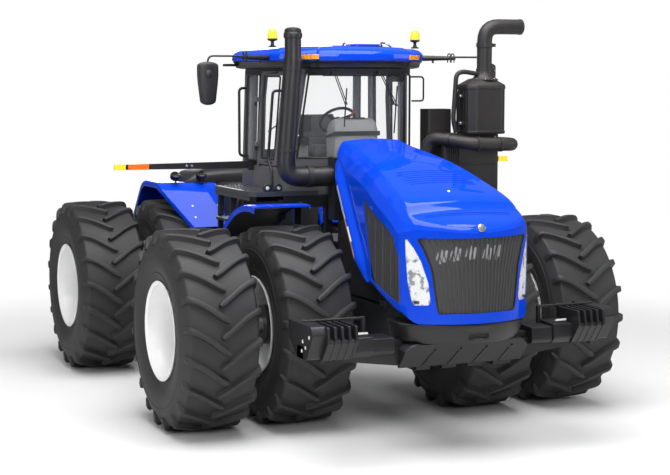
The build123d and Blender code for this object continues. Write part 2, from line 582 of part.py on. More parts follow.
def cab_form(inset, below=0.0, above=0.0):
    """The cab as a solid, inset from its outer skin; below and above stretch it past its ends."""
    with BuildPart() as form:
        for level, z in enumerate((CAB_FLOOR_Z, CAB_ROOF_Z)):
            half = [(corner[level][0], aft(corner[level][1])) for corner in CAB_CORNERS]
            with BuildSketch(Plane.XY.offset(z)):
                with BuildLine():
                    Polyline(*half, *[(-x, y) for x, y in reversed(half)])
                    ThreePointArc(half[0], (0, aft(CAB_FRONT[level])), (-half[0][0], half[0][1]))
                make_face()
                if inset:
                    offset(amount=-inset, mode=Mode.REPLACE, kind=Kind.INTERSECTION)
        loft(ruled=True)
    return form.part


KNUCKLE_RADIUS = 16.0
KNUCKLE_LENGTH = 50.0
KNUCKLE_LEVELS = (2800.0, 3300.0)
DOOR_HINGE_X = -(CAB_HALF + KNUCKLE_RADIUS)
DOOR_REAR = aft(1425.0)
DOOR_HINGE_Y = DOOR_REAR + MOVING_GAP / 2
DOOR_AXIS_Y = DOOR_HINGE_Y + 20.0
DOOR_FRAME = 48.0
DOOR_TOP = CAB_ROOF_Z - 30.0
WINDOW_TOP = CAB_ROOF_Z - 60.0
UPPER_CORNER_Z = CAB_ROOF_Z - 320.0  # where the pillar behind the door bends forwards
# Right-hand door and its window, and the fixed side windows, as (y, z).
DOOR_OUTLINE = ((aft(905), SILL_Z + 10), (DOOR_REAR, SILL_Z + 10), (DOOR_REAR, UPPER_CORNER_Z),
                (DOOR_REAR - 60, DOOR_TOP), (aft(770), DOOR_TOP))
DOOR_WINDOW = ((aft(962), SILL_Z + 70), (DOOR_REAR - DOOR_FRAME, SILL_Z + 70),
               (DOOR_REAR - DOOR_FRAME, UPPER_CORNER_Z), (DOOR_REAR - 2 * DOOR_FRAME, DOOR_TOP - 45),
               (aft(838), DOOR_TOP - 45))
REAR_SIDE_WINDOW = ((aft(1480), SILL_Z + 50), (aft(1890), SILL_Z + 50), (aft(1850), WINDOW_TOP),
                    (aft(1420), WINDOW_TOP), (aft(1480), UPPER_CORNER_Z))
LEFT_WINDOW = ((aft(940), SILL_Z + 50), (aft(1420), SILL_Z + 50), (aft(1420), UPPER_CORNER_Z),
               (aft(1360), WINDOW_TOP), (aft(820), WINDOW_TOP))
WINDSHIELD_HALF = (CAB_HALF - 175, CAB_HALF - 260)  # at its foot and at its top
WINDSHIELD = ((-WINDSHIELD_HALF[0], 2730), (WINDSHIELD_HALF[0], 2730),
              (WINDSHIELD_HALF[1], WINDOW_TOP), (-WINDSHIELD_HALF[1], WINDOW_TOP))
REAR_WINDOW_HALF = CAB_HALF - 215
REAR_WINDOW = ((-REAR_WINDOW_HALF, 2780), (REAR_WINDOW_HALF, 2780),
               (REAR_WINDOW_HALF, WINDOW_TOP), (-REAR_WINDOW_HALF, WINDOW_TOP))


def widened(points, by):
    """The outline of a panel's opening: the panel and the gap round it."""
    with BuildSketch(Plane.YZ) as face:
        with BuildLine():
            Polyline(*points, close=True)
        make_face()
        offset(amount=by, mode=Mode.REPLACE, kind=Kind.INTERSECTION)
    return face.sketch


cab_outer, cab_inner = cab_form(0), cab_form(CAB_WALL)
glass_layer = cab_form(18) - cab_form(18 + GLASS_THICK)


def fixed_windows(mode):
    """The openings of every window that is not in the door."""
    front_plate(aft(200), aft(1000), WINDSHIELD, mode=mode)
    front_plate(aft(1990), aft(2300), REAR_WINDOW, mode=mode)
    side_plate(-CAB_HALF - 50, -CAB_HALF + 250, REAR_SIDE_WINDOW, mode=mode)
    for points in (LEFT_WINDOW, REAR_SIDE_WINDOW):
        side_plate(CAB_HALF - 250, CAB_HALF + 50, points, mode=mode)


with BuildPart() as cab_body:
    add(cab_outer)
    with BuildPart(mode=Mode.PRIVATE) as cavity:
        add(cab_inner)
        block(-1000, 1000, aft(0), aft(2500), CAB_FLOOR_Z, CAB_FLOOR_Z + CAB_FLOOR_THICK,
              mode=Mode.SUBTRACT)
    add(cavity.part, mode=Mode.SUBTRACT)
    fixed_windows(Mode.SUBTRACT)
    extrude(Pos(-CAB_HALF - 60, 0, 0) * widened(DOOR_OUTLINE, MOVING_GAP), amount=400, mode=Mode.SUBTRACT)
    for z in KNUCKLE_LEVELS:
        block(DOOR_HINGE_X, -CAB_HALF + 40, DOOR_AXIS_Y - 12, DOOR_AXIS_Y + 14, z, z + KNUCKLE_LENGTH)
        rod((DOOR_HINGE_X, DOOR_AXIS_Y, z), (DOOR_HINGE_X, DOOR_AXIS_Y, z + KNUCKLE_LENGTH), KNUCKLE_RADIUS)
cab_body.part.label = "cab_body"
export_step(cab_body.part, "parts/cab_body.step")

with BuildPart() as cab_glass:
    fixed_windows(Mode.ADD)
    add(glass_layer, mode=Mode.INTERSECT)
cab_glass.part.label = "cab_glass"
export_step(cab_glass.part, "parts/cab_glass.step")

# ---- door, hinged at its rear edge ----

with BuildPart() as door_frame:
    add(cab_outer)
    add(cab_inner, mode=Mode.SUBTRACT)
    side_plate(-CAB_HALF - 60, -CAB_HALF + 340, DOOR_OUTLINE, mode=Mode.INTERSECT)
    side_plate(-CAB_HALF - 60, -CAB_HALF + 340, DOOR_WINDOW, mode=Mode.SUBTRACT)
    for level in KNUCKLE_LEVELS:
        z = level + KNUCKLE_LENGTH + SEAT_GAP
        rod((DOOR_HINGE_X, DOOR_AXIS_Y, z), (DOOR_HINGE_X, DOOR_AXIS_Y, z + KNUCKLE_LENGTH), KNUCKLE_RADIUS)
        block(DOOR_HINGE_X - 8, DOOR_HINGE_X + 8, DOOR_REAR - 40, DOOR_AXIS_Y, z, z + KNUCKLE_LENGTH)
        block(DOOR_HINGE_X - 8, -CAB_HALF + 40, DOOR_REAR - 40, DOOR_REAR - 8, z, z + KNUCKLE_LENGTH)
door_frame.part.label = "door_frame"
export_step(door_frame.part, "parts/door_frame.step")

with BuildPart() as door_glass:
    side_plate(-CAB_HALF - 60, -CAB_HALF + 340, DOOR_WINDOW)
    add(glass_layer, mode=Mode.INTERSECT)
door_glass.part.label = "door_glass"
export_step(door_glass.part, "parts/door_glass.step")

# ---- roof ----
ROOF_TRIM_TOP = CAB_ROOF_Z + 80.0
ROOF_TOP = ROOF_TRIM_TOP + 150.0
ROOF_EDGE = 55.0
# Half outline of the roof: x, distance behind the front axle.
ROOF_FRONT = 250.0
ROOF_CORNERS = ((CAB_HALF - 312, 362), (CAB_HALF - 130, 512), (CAB_HALF + 110, 820),
                (CAB_HALF + 110, 2040), (CAB_HALF - 50, 2250))


def roof_face(z, inset):
    half = [(x, aft(d)) for x, d in ROOF_CORNERS]
    with BuildSketch(Plane.XY.offset(z)) as face:
        with BuildLine():
            Polyline(*half, *[(-x, y) for x, y in reversed(half)])
            ThreePointArc(half[0], (0, aft(ROOF_FRONT)), (-half[0][0], half[0][1]))
        make_face()
        if inset:
            offset(amount=-inset, mode=Mode.REPLACE, kind=Kind.INTERSECTION)
    return face.sketch


with BuildPart() as roof_trim:
    extrude(roof_face(CAB_ROOF_Z, 45), amount=ROOF_TRIM_TOP - CAB_ROOF_Z)
roof_trim.part.label = "roof_trim"
export_step(roof_trim.part, "parts/roof_trim.step")

with BuildPart() as roof:
    extrude(roof_face(ROOF_TRIM_TOP, 0), amount=ROOF_TOP - ROOF_TRIM_TOP)
    chamfer(roof.faces().sort_by(Axis.Z)[-1].edges(), length=ROOF_EDGE, length2=ROOF_EDGE * 1.6)
roof.part.label = "roof"
export_step(roof.part, "parts/roof.step")

with BuildPart() as corner_lamps:
    (x0, d0), (x1, d1) = ROOF_CORNERS[:2]
    plan_plate(ROOF_TRIM_TOP + 8, ROOF_TRIM_TOP + 76,
               [(x0 + 12, aft(d0 + 10)), (x1 - 8, aft(d1 - 7)), (x1 + 2, aft(d1 - 20)),
                (x0 + 22, aft(d0 - 5))])
    mirror(about=Plane.YZ)
    add(roof.part, mode=Mode.SUBTRACT)
corner_lamps.part.label = "corner_lamps"
export_step(corner_lamps.part, "parts/corner_lamps.step")

BEACON_X, BEACON_Y = CAB_HALF + 18.0, aft(900.0)
BEACON_BASE, BEACON_TOP = ROOF_TOP + 95.0, ROOF_TOP + 202.0
BEACON_RADIUS = 55.0

with BuildPart() as beacons:
    rod((BEACON_X, BEACON_Y, ROOF_TOP), (BEACON_X, BEACON_Y, BEACON_BASE), 18)
    rod((BEACON_X, BEACON_Y, BEACON_BASE), (BEACON_X, BEACON_Y, BEACON_TOP - BEACON_RADIUS / 2),
        BEACON_RADIUS)
    rod((BEACON_X, BEACON_Y, BEACON_TOP - BEACON_RADIUS / 2), (BEACON_X, BEACON_Y, BEACON_TOP),
        BEACON_RADIUS * 0.8)
    mirror(about=Plane.YZ)
beacons.part.label = "beacons"
export_step(beacons.part, "parts/beacons.step")

MIRROR_ARM_Z = ROOF_TRIM_TOP + 40.0
MIRROR_X = (CAB_HALF + 710.0, CAB_HALF + 960.0)
MIRROR_Z = (MIRROR_ARM_Z - 510.0, MIRROR_ARM_Z - 50.0)
MIRROR_Y = aft(700.0)
MIRROR_ELBOW_X = CAB_HALF + 430.0
MIRROR_STEM_X = (MIRROR_X[0] + MIRROR_X[1]) / 2

with BuildPart() as mirrors:
    rod((CAB_HALF + 50, aft(867), MIRROR_ARM_Z), (MIRROR_ELBOW_X + 10, aft(710), MIRROR_ARM_Z), 28)
    rod((MIRROR_ELBOW_X - 10, aft(714), MIRROR_ARM_Z), (MIRROR_STEM_X + 25, MIRROR_Y, MIRROR_ARM_Z), 15)
    rod((MIRROR_STEM_X, MIRROR_Y, MIRROR_ARM_Z), (MIRROR_STEM_X, MIRROR_Y, MIRROR_Z[1] - 20), 11)
    with Locations((MIRROR_STEM_X, MIRROR_Y, (MIRROR_Z[0] + MIRROR_Z[1]) / 2)):
        Box(MIRROR_X[1] - MIRROR_X[0], 90, MIRROR_Z[1] - MIRROR_Z[0])
    mirror(about=Plane.YZ)
    add(roof.part, mode=Mode.SUBTRACT)
mirrors.part.label = "mirrors"
export_step(mirrors.part, "parts/mirrors.step")

# ---- inside the cab ----
FLOOR_TOP = CAB_FLOOR_Z + CAB_FLOOR_THICK
STEERING_WHEEL = (0, aft(1120), 3140.0)
WHEEL_TILT = 28.0
CUSHION_HALF = 260.0
CUSHION_BOTTOM, CUSHION_TOP = 2720.0, 2850.0
CUSHION_FRONT, CUSHION_BACK = aft(1230), aft(1660)
BACKREST_TOP = 3240.0
BACKREST_THICK = 120.0

with BuildPart() as dashboard:
    side_plate(-265, 265, [(aft(640), FLOOR_TOP), (aft(540), 3040), (aft(590), 3180), (aft(760), 3140),
                           (aft(830), 2960), (aft(780), FLOOR_TOP)])
    add(cab_inner, mode=Mode.INTERSECT)
    block(-90, 90, aft(760), aft(1010), FLOOR_TOP, FLOOR_TOP + 60)
    rod((0, aft(960), FLOOR_TOP + 40), (STEERING_WHEEL[0], aft(1080), STEERING_WHEEL[2] - 62), 42)
    add(cab_body.part, mode=Mode.SUBTRACT)
dashboard.part.label = "dashboard"
export_step(dashboard.part, "parts/dashboard.step")

wheel_frame = Plane(origin=STEERING_WHEEL, x_dir=(1, 0, 0),
                    z_dir=(0, sin(radians(WHEEL_TILT)), cos(radians(WHEEL_TILT))))

with BuildPart() as steering_wheel:
    with Locations(wheel_frame):
        Torus(200, 17)
        Cylinder(45, 40)
        for turn in (90, 210, 330):
            with Locations(Location((105 * cos(radians(turn)), 105 * sin(radians(turn)), 0), (0, 0, turn))):
                Box(190, 34, 14)
    rod(wheel_frame.from_local_coords((0, 0, 0)), wheel_frame.from_local_coords((0, 0, -66)), 24)
    add(dashboard.part, mode=Mode.SUBTRACT)
steering_wheel.part.label = "steering_wheel"
export_step(steering_wheel.part, "parts/steering_wheel.step")

with BuildPart() as seat_base:
    block(-190, 190, aft(1300), aft(1640), FLOOR_TOP, FLOOR_TOP + 60)
    block(-150, 150, aft(1340), aft(1600), FLOOR_TOP + 60, CUSHION_BOTTOM - 40)
    block(-230, 230, CUSHION_FRONT + 30, CUSHION_BACK + 60, CUSHION_BOTTOM - 40, CUSHION_BOTTOM)
    block(-200, 200, CUSHION_BACK + BACKREST_THICK, CUSHION_BACK + BACKREST_THICK + 30,
          CUSHION_BOTTOM - 40, BACKREST_TOP - 80)
    block(-200, 200, CUSHION_BACK + 60, CUSHION_BACK + BACKREST_THICK + 30,
          CUSHION_BOTTOM - 40, CUSHION_BOTTOM)
seat_base.part.label = "seat_base"
export_step(seat_base.part, "parts/seat_base.step")

with BuildPart() as seat_cushion:
    block(-CUSHION_HALF, CUSHION_HALF, CUSHION_FRONT, CUSHION_BACK, CUSHION_BOTTOM, CUSHION_TOP)
seat_cushion.part.label = "seat_cushion"
export_step(seat_cushion.part, "parts/seat_cushion.step")

with BuildPart() as seat_back:
    block(-CUSHION_HALF + 10, CUSHION_HALF - 10, CUSHION_BACK + SEAT_GAP, CUSHION_BACK + BACKREST_THICK,
          CUSHION_BOTTOM + 10, BACKREST_TOP)
seat_back.part.label = "seat_back"
export_step(seat_back.part, "parts/seat_back.step")

with BuildPart() as side_console:
    block(-480, -300, aft(1250), aft(1700), FLOOR_TOP, 2930)
    block(-460, -320, aft(1150), aft(1260), 2850, 2960)
    rod((-390, aft(1200), 2960), (-390, aft(1200), 3080), 22)
side_console.part.label = "side_console"
export_step(side_console.part, "parts/side_console.step")

# ======== what hangs on the front half ========

FENDER_RADIUS = 1240.0
FENDER_THICK = 22.0
FENDER_INNER = CAB_HALF
FENDER_OUTER = 1490.0
FENDER_START, FENDER_END = 95.0, 18.0  # degrees above the horizontal, behind the axle


def polar(radius, degrees, centre_y):
    return (centre_y + radius * cos(radians(degrees)), AXLE_Z + radius * sin(radians(degrees)))


with BuildPart() as front_fenders:
    with BuildSketch(Plane.YZ.offset(FENDER_INNER)):
        with BuildLine():
            middle = (FENDER_START + FENDER_END) / 2
            outer = [polar(FENDER_RADIUS, a, FRONT_AXLE_Y) for a in (FENDER_START, middle, FENDER_END)]
            inner = [polar(FENDER_RADIUS - FENDER_THICK, a, FRONT_AXLE_Y)
                     for a in (FENDER_END, middle, FENDER_START)]
            ThreePointArc(*outer)
            Line(outer[2], inner[0])
            ThreePointArc(*inner)
            Line(inner[2], outer[0])
        make_face()
    extrude(amount=FENDER_OUTER - FENDER_INNER)
    block(FENDER_INNER, FENDER_INNER + 60, CAB_POSTS_Y[0], CAB_POSTS_Y[0] + CAB_POST,
          AXLE_Z + 1040, OUTRIGGER_Z + 90)
    mirror(about=Plane.YZ)
front_fenders.part.label = "front_fenders"
export_step(front_fenders.part, "parts/front_fenders.step")

PLATFORM_THICK = 60.0
PLATFORM_OUTER = CAB_HALF + 400.0
PLATFORM_BACK = aft(1750)

with BuildPart() as platforms:
    plan_plate(CAB_FLOOR_Z, CAB_FLOOR_Z + PLATFORM_THICK,
               [(-480, aft(545)), (-PLATFORM_OUTER + 60, aft(560)), (-PLATFORM_OUTER, aft(640)),
                (-PLATFORM_OUTER, PLATFORM_BACK), (-CAB_HALF + 20, PLATFORM_BACK), (-480, aft(900))])
    plan_plate(CAB_FLOOR_Z, CAB_FLOOR_Z + PLATFORM_THICK,
               [(CAB_HALF - 20, aft(800)), (PLATFORM_OUTER - 80, aft(800)),
                (PLATFORM_OUTER - 80, PLATFORM_BACK), (CAB_HALF - 20, PLATFORM_BACK)])
    add(cab_outer, mode=Mode.SUBTRACT)
    block(-PLATFORM_OUTER, -PLATFORM_OUTER + 20, aft(640), PLATFORM_BACK, CAB_FLOOR_Z - 40, CAB_FLOOR_Z)
platforms.part.label = "platforms"
export_step(platforms.part, "parts/platforms.step")

LADDER_Y = (aft(1250), aft(1650))
LADDER_TOP = CAB_FLOOR_Z - 40.0
LADDER_BOTTOM = 500.0
LADDER_STEPS = 6

with BuildPart() as ladder:
    for y in LADDER_Y:
        block(-PLATFORM_OUTER, -PLATFORM_OUTER + 60, y - 15, y + 15, LADDER_BOTTOM, LADDER_TOP)
    for step in range(LADDER_STEPS):
        z = LADDER_BOTTOM + 20 + step * (LADDER_TOP - LADDER_BOTTOM) / LADDER_STEPS
        block(-PLATFORM_OUTER - 40, -PLATFORM_OUTER + 110, LADDER_Y[0], LADDER_Y[1], z, z + 35)
ladder.part.label = "ladder"
export_step(ladder.part, "parts/ladder.step")

RAIL_PIPE = 16.0
REAR_RAIL_X = CAB_HALF + 55.0
FRONT_RAIL_X = CAB_HALF + 135.0

with BuildPart() as handrails:
    pipe([(-CAB_HALF + 50, aft(1880), 2720), (-REAR_RAIL_X, aft(1880), 2720),
          (-REAR_RAIL_X, aft(1880), 3500), (-CAB_HALF + 70, aft(1880), 3500)], 40, RAIL_PIPE)
    pipe([(-CAB_HALF + 190, aft(700), 3480), (-FRONT_RAIL_X, aft(590), 3480),
          (-FRONT_RAIL_X, aft(740), 2740), (-FRONT_RAIL_X, aft(625), 2600),
          (-FRONT_RAIL_X, aft(625), CAB_FLOOR_Z + PLATFORM_THICK)], 50, RAIL_PIPE)
    add(cab_outer, mode=Mode.SUBTRACT)
handrails.part.label = "handrails"
export_step(handrails.part, "parts/handrails.step")

SNORKEL_X = CAB_HALF - 24.0
SNORKEL_Y = aft(400.0)
SNORKEL_RING_Z = 4050.0

with BuildPart() as intake_snorkel:
    pipe([(-BULKHEAD_HALF, aft(355), 2560), (-SNORKEL_X - 99, aft(395), 2560), (-SNORKEL_X, SNORKEL_Y, 3800)],
         130, 100)
    rod((-SNORKEL_X, SNORKEL_Y, 3790), (-SNORKEL_X, SNORKEL_Y, SNORKEL_RING_Z), 88)
    rod((-SNORKEL_X, SNORKEL_Y, SNORKEL_RING_Z), (-SNORKEL_X, SNORKEL_Y, SNORKEL_RING_Z + 70), 100)
    rod((-SNORKEL_X, SNORKEL_Y, SNORKEL_RING_Z + 70), (-SNORKEL_X, SNORKEL_Y, SNORKEL_RING_Z + 120), 70)
    rod((-SNORKEL_X - 14, SNORKEL_Y + 30, 3300), (-CAB_HALF + 115, aft(800), 3300), 16)
    add(cab_outer, mode=Mode.SUBTRACT)
    add(bulkhead.part, mode=Mode.SUBTRACT)
intake_snorkel.part.label = "intake_snorkel"
export_step(intake_snorkel.part, "parts/intake_snorkel.step")

HOUSING_X = (CAB_HALF, 1560.0)
HOUSING_BOTTOM, HOUSING_TOP = OUTRIGGER_Z + 90.0, 3000.0
CANISTER_X = (1110.0, 1600.0)
CANISTER_TOP = 3530.0
STACK_X, STACK_Y, STACK_Z = 1385.0, aft(200), 4185.0
STACK_RADIUS = 88.0
STACK_CLAMP_Z = 3980.0
EXHAUST_RADIUS = 74.0
EXHAUST_RISE_X = CAB_HALF - 90.0
EXHAUST_OUTER_X = 1655.0
EXHAUST_Z = 2885.0

with BuildPart() as exhaust_housing:
    block(*HOUSING_X, aft(150), aft(600), HOUSING_BOTTOM, HOUSING_TOP)
    block(HOUSING_X[0] + 5, 1150, aft(520), aft(750), HOUSING_BOTTOM + 60, 3270)
    add(cab_outer, mode=Mode.SUBTRACT)
    add(front_frame.part, mode=Mode.SUBTRACT)
exhaust_housing.part.label = "exhaust_housing"
export_step(exhaust_housing.part, "parts/exhaust_housing.step")

with BuildPart() as exhaust_canister:
    front_plate(aft(5), aft(400), [(CANISTER_X[0], HOUSING_TOP), (CANISTER_X[1], HOUSING_TOP),
                                   (CANISTER_X[1], CANISTER_TOP), (CANISTER_X[1] - 90, CANISTER_TOP + 90),
                                   (CANISTER_X[0] + 90, CANISTER_TOP + 90), (CANISTER_X[0], CANISTER_TOP)])
exhaust_canister.part.label = "exhaust_canister"
export_step(exhaust_canister.part, "parts/exhaust_canister.step")

with BuildPart() as exhaust_stack:
    pipe([(STACK_X, STACK_Y, CANISTER_TOP + 90), (STACK_X, STACK_Y, STACK_Z), (1850, STACK_Y, STACK_Z)],
         150, STACK_RADIUS)
    with Locations((STACK_X, STACK_Y, STACK_CLAMP_Z)):
        Cylinder(STACK_RADIUS + 12, 50)
exhaust_stack.part.label = "exhaust_stack"
export_step(exhaust_stack.part, "parts/exhaust_stack.step")

with BuildPart() as exhaust_pipe:
    pipe([(BULKHEAD_HALF, aft(355), 2640), (EXHAUST_RISE_X - 70, aft(345), 2680),
          (EXHAUST_RISE_X, aft(280), 2960), (1080, aft(-100), 2900), (1560, aft(-110), EXHAUST_Z),
          (EXHAUST_OUTER_X, aft(40), EXHAUST_Z), (EXHAUST_OUTER_X, aft(300), EXHAUST_Z),
          (HOUSING_X[1] - 20, aft(300), EXHAUST_Z)], 90, EXHAUST_RADIUS)
    add(bulkhead.part, mode=Mode.SUBTRACT)
    add(exhaust_housing.part, mode=Mode.SUBTRACT)
exhaust_pipe.part.label = "exhaust_pipe"
export_step(exhaust_pipe.part, "parts/exhaust_pipe.step")

MARKER_TIP = OVERALL_HALF - 10.0
MARKER_ROOT_Z = (2590.0, 2675.0)
MARKER_TIP_Z = (2608.0, 2658.0)

with BuildPart() as marker_bars:
    front_plate(aft(1585), aft(1615), [(CAB_HALF - 30, MARKER_ROOT_Z[0]), (MARKER_TIP, MARKER_TIP_Z[0]),
                                       (MARKER_TIP, MARKER_TIP_Z[1]), (CAB_HALF - 30, MARKER_ROOT_Z[1])])
    mirror(about=Plane.YZ)
    add(cab_outer, mode=Mode.SUBTRACT)
marker_bars.part.label = "marker_bars"
export_step(marker_bars.part, "parts/marker_bars.step")

# ======== what stands on the rear half ========

TANK_HALF = TRACK_GAP / 2 - 33.0
TANK_FRONT = REAR_AXLE_Y - 812.0
TANK_BACK = REAR_AXLE_Y + 690.0
TANK_TOP = 2300.0
COVER_HALF = 1000.0
COVER_FRONT = REAR_AXLE_Y - 300.0
COVER_TOP = 2500.0
REAR_FENDER_OUTER = 1370.0
REAR_FENDER_THICK = 25.0
# Top line of the rear fenders: (distance behind the rear axle, height).
REAR_FENDER_LINE = ((-842, 1780), (-362, TANK_TOP), (400, TANK_TOP), (900, 1750))

with BuildPart() as fuel_tank:
    block(-TANK_HALF, TANK_HALF, TANK_FRONT, TANK_BACK, RAIL_TOP, TANK_TOP)
fuel_tank.part.label = "fuel_tank"
export_step(fuel_tank.part, "parts/fuel_tank.step")

with BuildPart() as tank_cover:
    block(-COVER_HALF, COVER_HALF, COVER_FRONT, REAR_AXLE_Y + 380, TANK_TOP, COVER_TOP)
    chamfer(tank_cover.faces().sort_by(Axis.Z)[-1].edges(), length=40)
tank_cover.part.label = "tank_cover"
export_step(tank_cover.part, "parts/tank_cover.step")

with BuildPart() as rear_fenders:
    with BuildSketch(Plane.YZ.offset(TANK_HALF)):
        with BuildLine():
            top = [(REAR_AXLE_Y + d, z) for d, z in REAR_FENDER_LINE]
            low = [(y + REAR_FENDER_THICK * push, z - REAR_FENDER_THICK)
                   for (y, z), push in zip(top, (1, 0.5, -0.5, -1))]
            Line(top[1], top[2])
            Line(low[1], low[2])
            for a, b, side in ((top[0], top[1], -1), (top[2], top[3], 1), (low[0], low[1], -1),
                               (low[2], low[3], 1)):
                ThreePointArc(a, ((a[0] + b[0]) / 2 + side * 50, (a[1] + b[1]) / 2 + 55), b)
            Line(top[0], low[0])
            Line(top[3], low[3])
        make_face()
    extrude(amount=REAR_FENDER_OUTER - TANK_HALF)
    mirror(about=Plane.YZ)
rear_fenders.part.label = "rear_fenders"
export_step(rear_fenders.part, "parts/rear_fenders.step")

LAMP_RADIUS = 65.0

with BuildPart() as work_lamps:
    for x in (810.0, 1150.0):
        y = COVER_FRONT - 55
        rod((x, y, TANK_TOP), (x, y, TANK_TOP + 60), 14)
        rod((x, y - 40, TANK_TOP + 60 + LAMP_RADIUS / 2), (x, y + 40, TANK_TOP + 60 + LAMP_RADIUS / 2),
            LAMP_RADIUS)
    mirror(about=Plane.YZ)
work_lamps.part.label = "work_lamps"
export_step(work_lamps.part, "parts/work_lamps.step")

with BuildPart() as tail_lamps:
    block(1000, 1180, REAR_AXLE_Y + 780, REAR_AXLE_Y + 960, 1900, 1990)
    mirror(about=Plane.YZ)
    add(rear_fenders.part, mode=Mode.SUBTRACT)
    for x in (1090, -1090):
        block(x - 200, x + 200, REAR_AXLE_Y + 500, REAR_AXLE_Y + 800, 1800, 2100, mode=Mode.SUBTRACT)
tail_lamps.part.label = "tail_lamps"
export_step(tail_lamps.part, "parts/tail_lamps.step")

with BuildPart() as remote_couplers:
    block(-210, 210, REAR_FRAME_END, REAR_FRAME_END + 90, 1010, 1240)
    for x in (-140, -47, 47, 140):
        for z in (1070, 1180):
            rod((x, REAR_FRAME_END + 90, z), (x, REAR_FRAME_END + 150, z), 26)
remote_couplers.part.label = "remote_couplers"
export_step(remote_couplers.part, "parts/remote_couplers.step")
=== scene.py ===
"""Looks of an articulated farm tractor on twin wheels, built round its packed CAD model.

Sizes are in metres in the CAD frame: front towards -Y, +Z up, the ground at z = 0, and the
tractor's right-hand side at negative x. Pieces that differ only by side are made by a loop.
"""

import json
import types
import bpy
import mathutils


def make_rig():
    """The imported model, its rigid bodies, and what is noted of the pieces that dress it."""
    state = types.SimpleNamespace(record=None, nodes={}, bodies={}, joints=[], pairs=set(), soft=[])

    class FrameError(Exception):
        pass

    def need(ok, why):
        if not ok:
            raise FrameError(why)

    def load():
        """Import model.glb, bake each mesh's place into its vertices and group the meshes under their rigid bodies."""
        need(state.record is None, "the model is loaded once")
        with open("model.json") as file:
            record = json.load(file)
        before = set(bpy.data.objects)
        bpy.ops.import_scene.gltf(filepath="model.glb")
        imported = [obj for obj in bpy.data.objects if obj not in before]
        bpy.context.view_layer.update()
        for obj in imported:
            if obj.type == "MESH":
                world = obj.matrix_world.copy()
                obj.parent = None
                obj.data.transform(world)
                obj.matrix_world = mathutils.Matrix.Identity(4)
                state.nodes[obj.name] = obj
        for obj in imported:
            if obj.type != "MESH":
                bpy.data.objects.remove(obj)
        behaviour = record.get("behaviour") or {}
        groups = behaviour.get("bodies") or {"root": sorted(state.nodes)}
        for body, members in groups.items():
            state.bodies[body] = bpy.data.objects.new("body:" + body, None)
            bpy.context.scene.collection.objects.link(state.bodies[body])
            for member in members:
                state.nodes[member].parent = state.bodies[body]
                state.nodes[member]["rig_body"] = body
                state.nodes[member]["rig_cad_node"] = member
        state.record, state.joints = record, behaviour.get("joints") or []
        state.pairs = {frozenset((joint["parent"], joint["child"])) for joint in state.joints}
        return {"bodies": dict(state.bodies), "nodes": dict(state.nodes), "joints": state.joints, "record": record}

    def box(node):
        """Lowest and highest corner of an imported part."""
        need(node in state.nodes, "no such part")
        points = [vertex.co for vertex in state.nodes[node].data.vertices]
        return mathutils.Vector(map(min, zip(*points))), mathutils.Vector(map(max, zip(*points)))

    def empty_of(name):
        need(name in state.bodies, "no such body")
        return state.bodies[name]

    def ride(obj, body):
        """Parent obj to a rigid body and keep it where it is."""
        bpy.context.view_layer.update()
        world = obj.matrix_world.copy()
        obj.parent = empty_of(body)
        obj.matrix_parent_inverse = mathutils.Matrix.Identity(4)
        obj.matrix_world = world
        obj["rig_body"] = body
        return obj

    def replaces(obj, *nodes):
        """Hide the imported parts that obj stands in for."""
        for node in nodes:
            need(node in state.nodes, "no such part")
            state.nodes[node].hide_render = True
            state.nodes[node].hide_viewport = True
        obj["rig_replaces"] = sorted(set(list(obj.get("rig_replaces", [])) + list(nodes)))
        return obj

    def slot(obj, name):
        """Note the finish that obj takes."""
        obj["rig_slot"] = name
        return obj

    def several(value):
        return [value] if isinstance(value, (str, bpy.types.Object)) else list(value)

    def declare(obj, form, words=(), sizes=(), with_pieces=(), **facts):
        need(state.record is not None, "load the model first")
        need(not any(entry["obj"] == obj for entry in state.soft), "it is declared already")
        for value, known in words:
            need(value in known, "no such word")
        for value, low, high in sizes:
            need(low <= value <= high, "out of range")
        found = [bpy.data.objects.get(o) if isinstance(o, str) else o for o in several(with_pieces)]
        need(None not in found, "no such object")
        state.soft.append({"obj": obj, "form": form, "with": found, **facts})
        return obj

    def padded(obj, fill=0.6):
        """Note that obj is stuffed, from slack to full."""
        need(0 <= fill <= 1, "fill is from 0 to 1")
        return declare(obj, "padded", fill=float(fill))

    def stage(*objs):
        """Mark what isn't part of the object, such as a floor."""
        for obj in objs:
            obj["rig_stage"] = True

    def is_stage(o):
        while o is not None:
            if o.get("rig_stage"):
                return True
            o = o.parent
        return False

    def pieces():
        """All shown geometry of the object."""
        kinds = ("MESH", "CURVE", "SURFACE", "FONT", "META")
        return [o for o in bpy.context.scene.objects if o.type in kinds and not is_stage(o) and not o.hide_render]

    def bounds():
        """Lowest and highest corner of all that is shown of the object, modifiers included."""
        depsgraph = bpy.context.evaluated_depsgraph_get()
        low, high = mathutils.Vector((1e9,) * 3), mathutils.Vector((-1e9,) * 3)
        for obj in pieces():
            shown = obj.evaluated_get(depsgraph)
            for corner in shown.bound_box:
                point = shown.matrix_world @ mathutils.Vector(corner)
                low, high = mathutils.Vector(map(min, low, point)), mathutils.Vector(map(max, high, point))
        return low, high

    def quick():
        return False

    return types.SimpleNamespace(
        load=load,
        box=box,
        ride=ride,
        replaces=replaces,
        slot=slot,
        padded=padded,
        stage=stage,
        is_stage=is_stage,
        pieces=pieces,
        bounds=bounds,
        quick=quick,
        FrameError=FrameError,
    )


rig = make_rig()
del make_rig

bl_info = {
    "name": "Articulated tractor looks",
    "version": (1, 0, 0),
    "blender": (4, 5, 0),
    "location": "View3D > Sidebar > Tractor",
    "description": "Makes the visible pieces and finishes of an articulated farm tractor",
    "category": "Object",
}

import sys

import json
import math

import bmesh
import bpy
from mathutils import Vector

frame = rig.load()
CAD_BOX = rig.bounds()

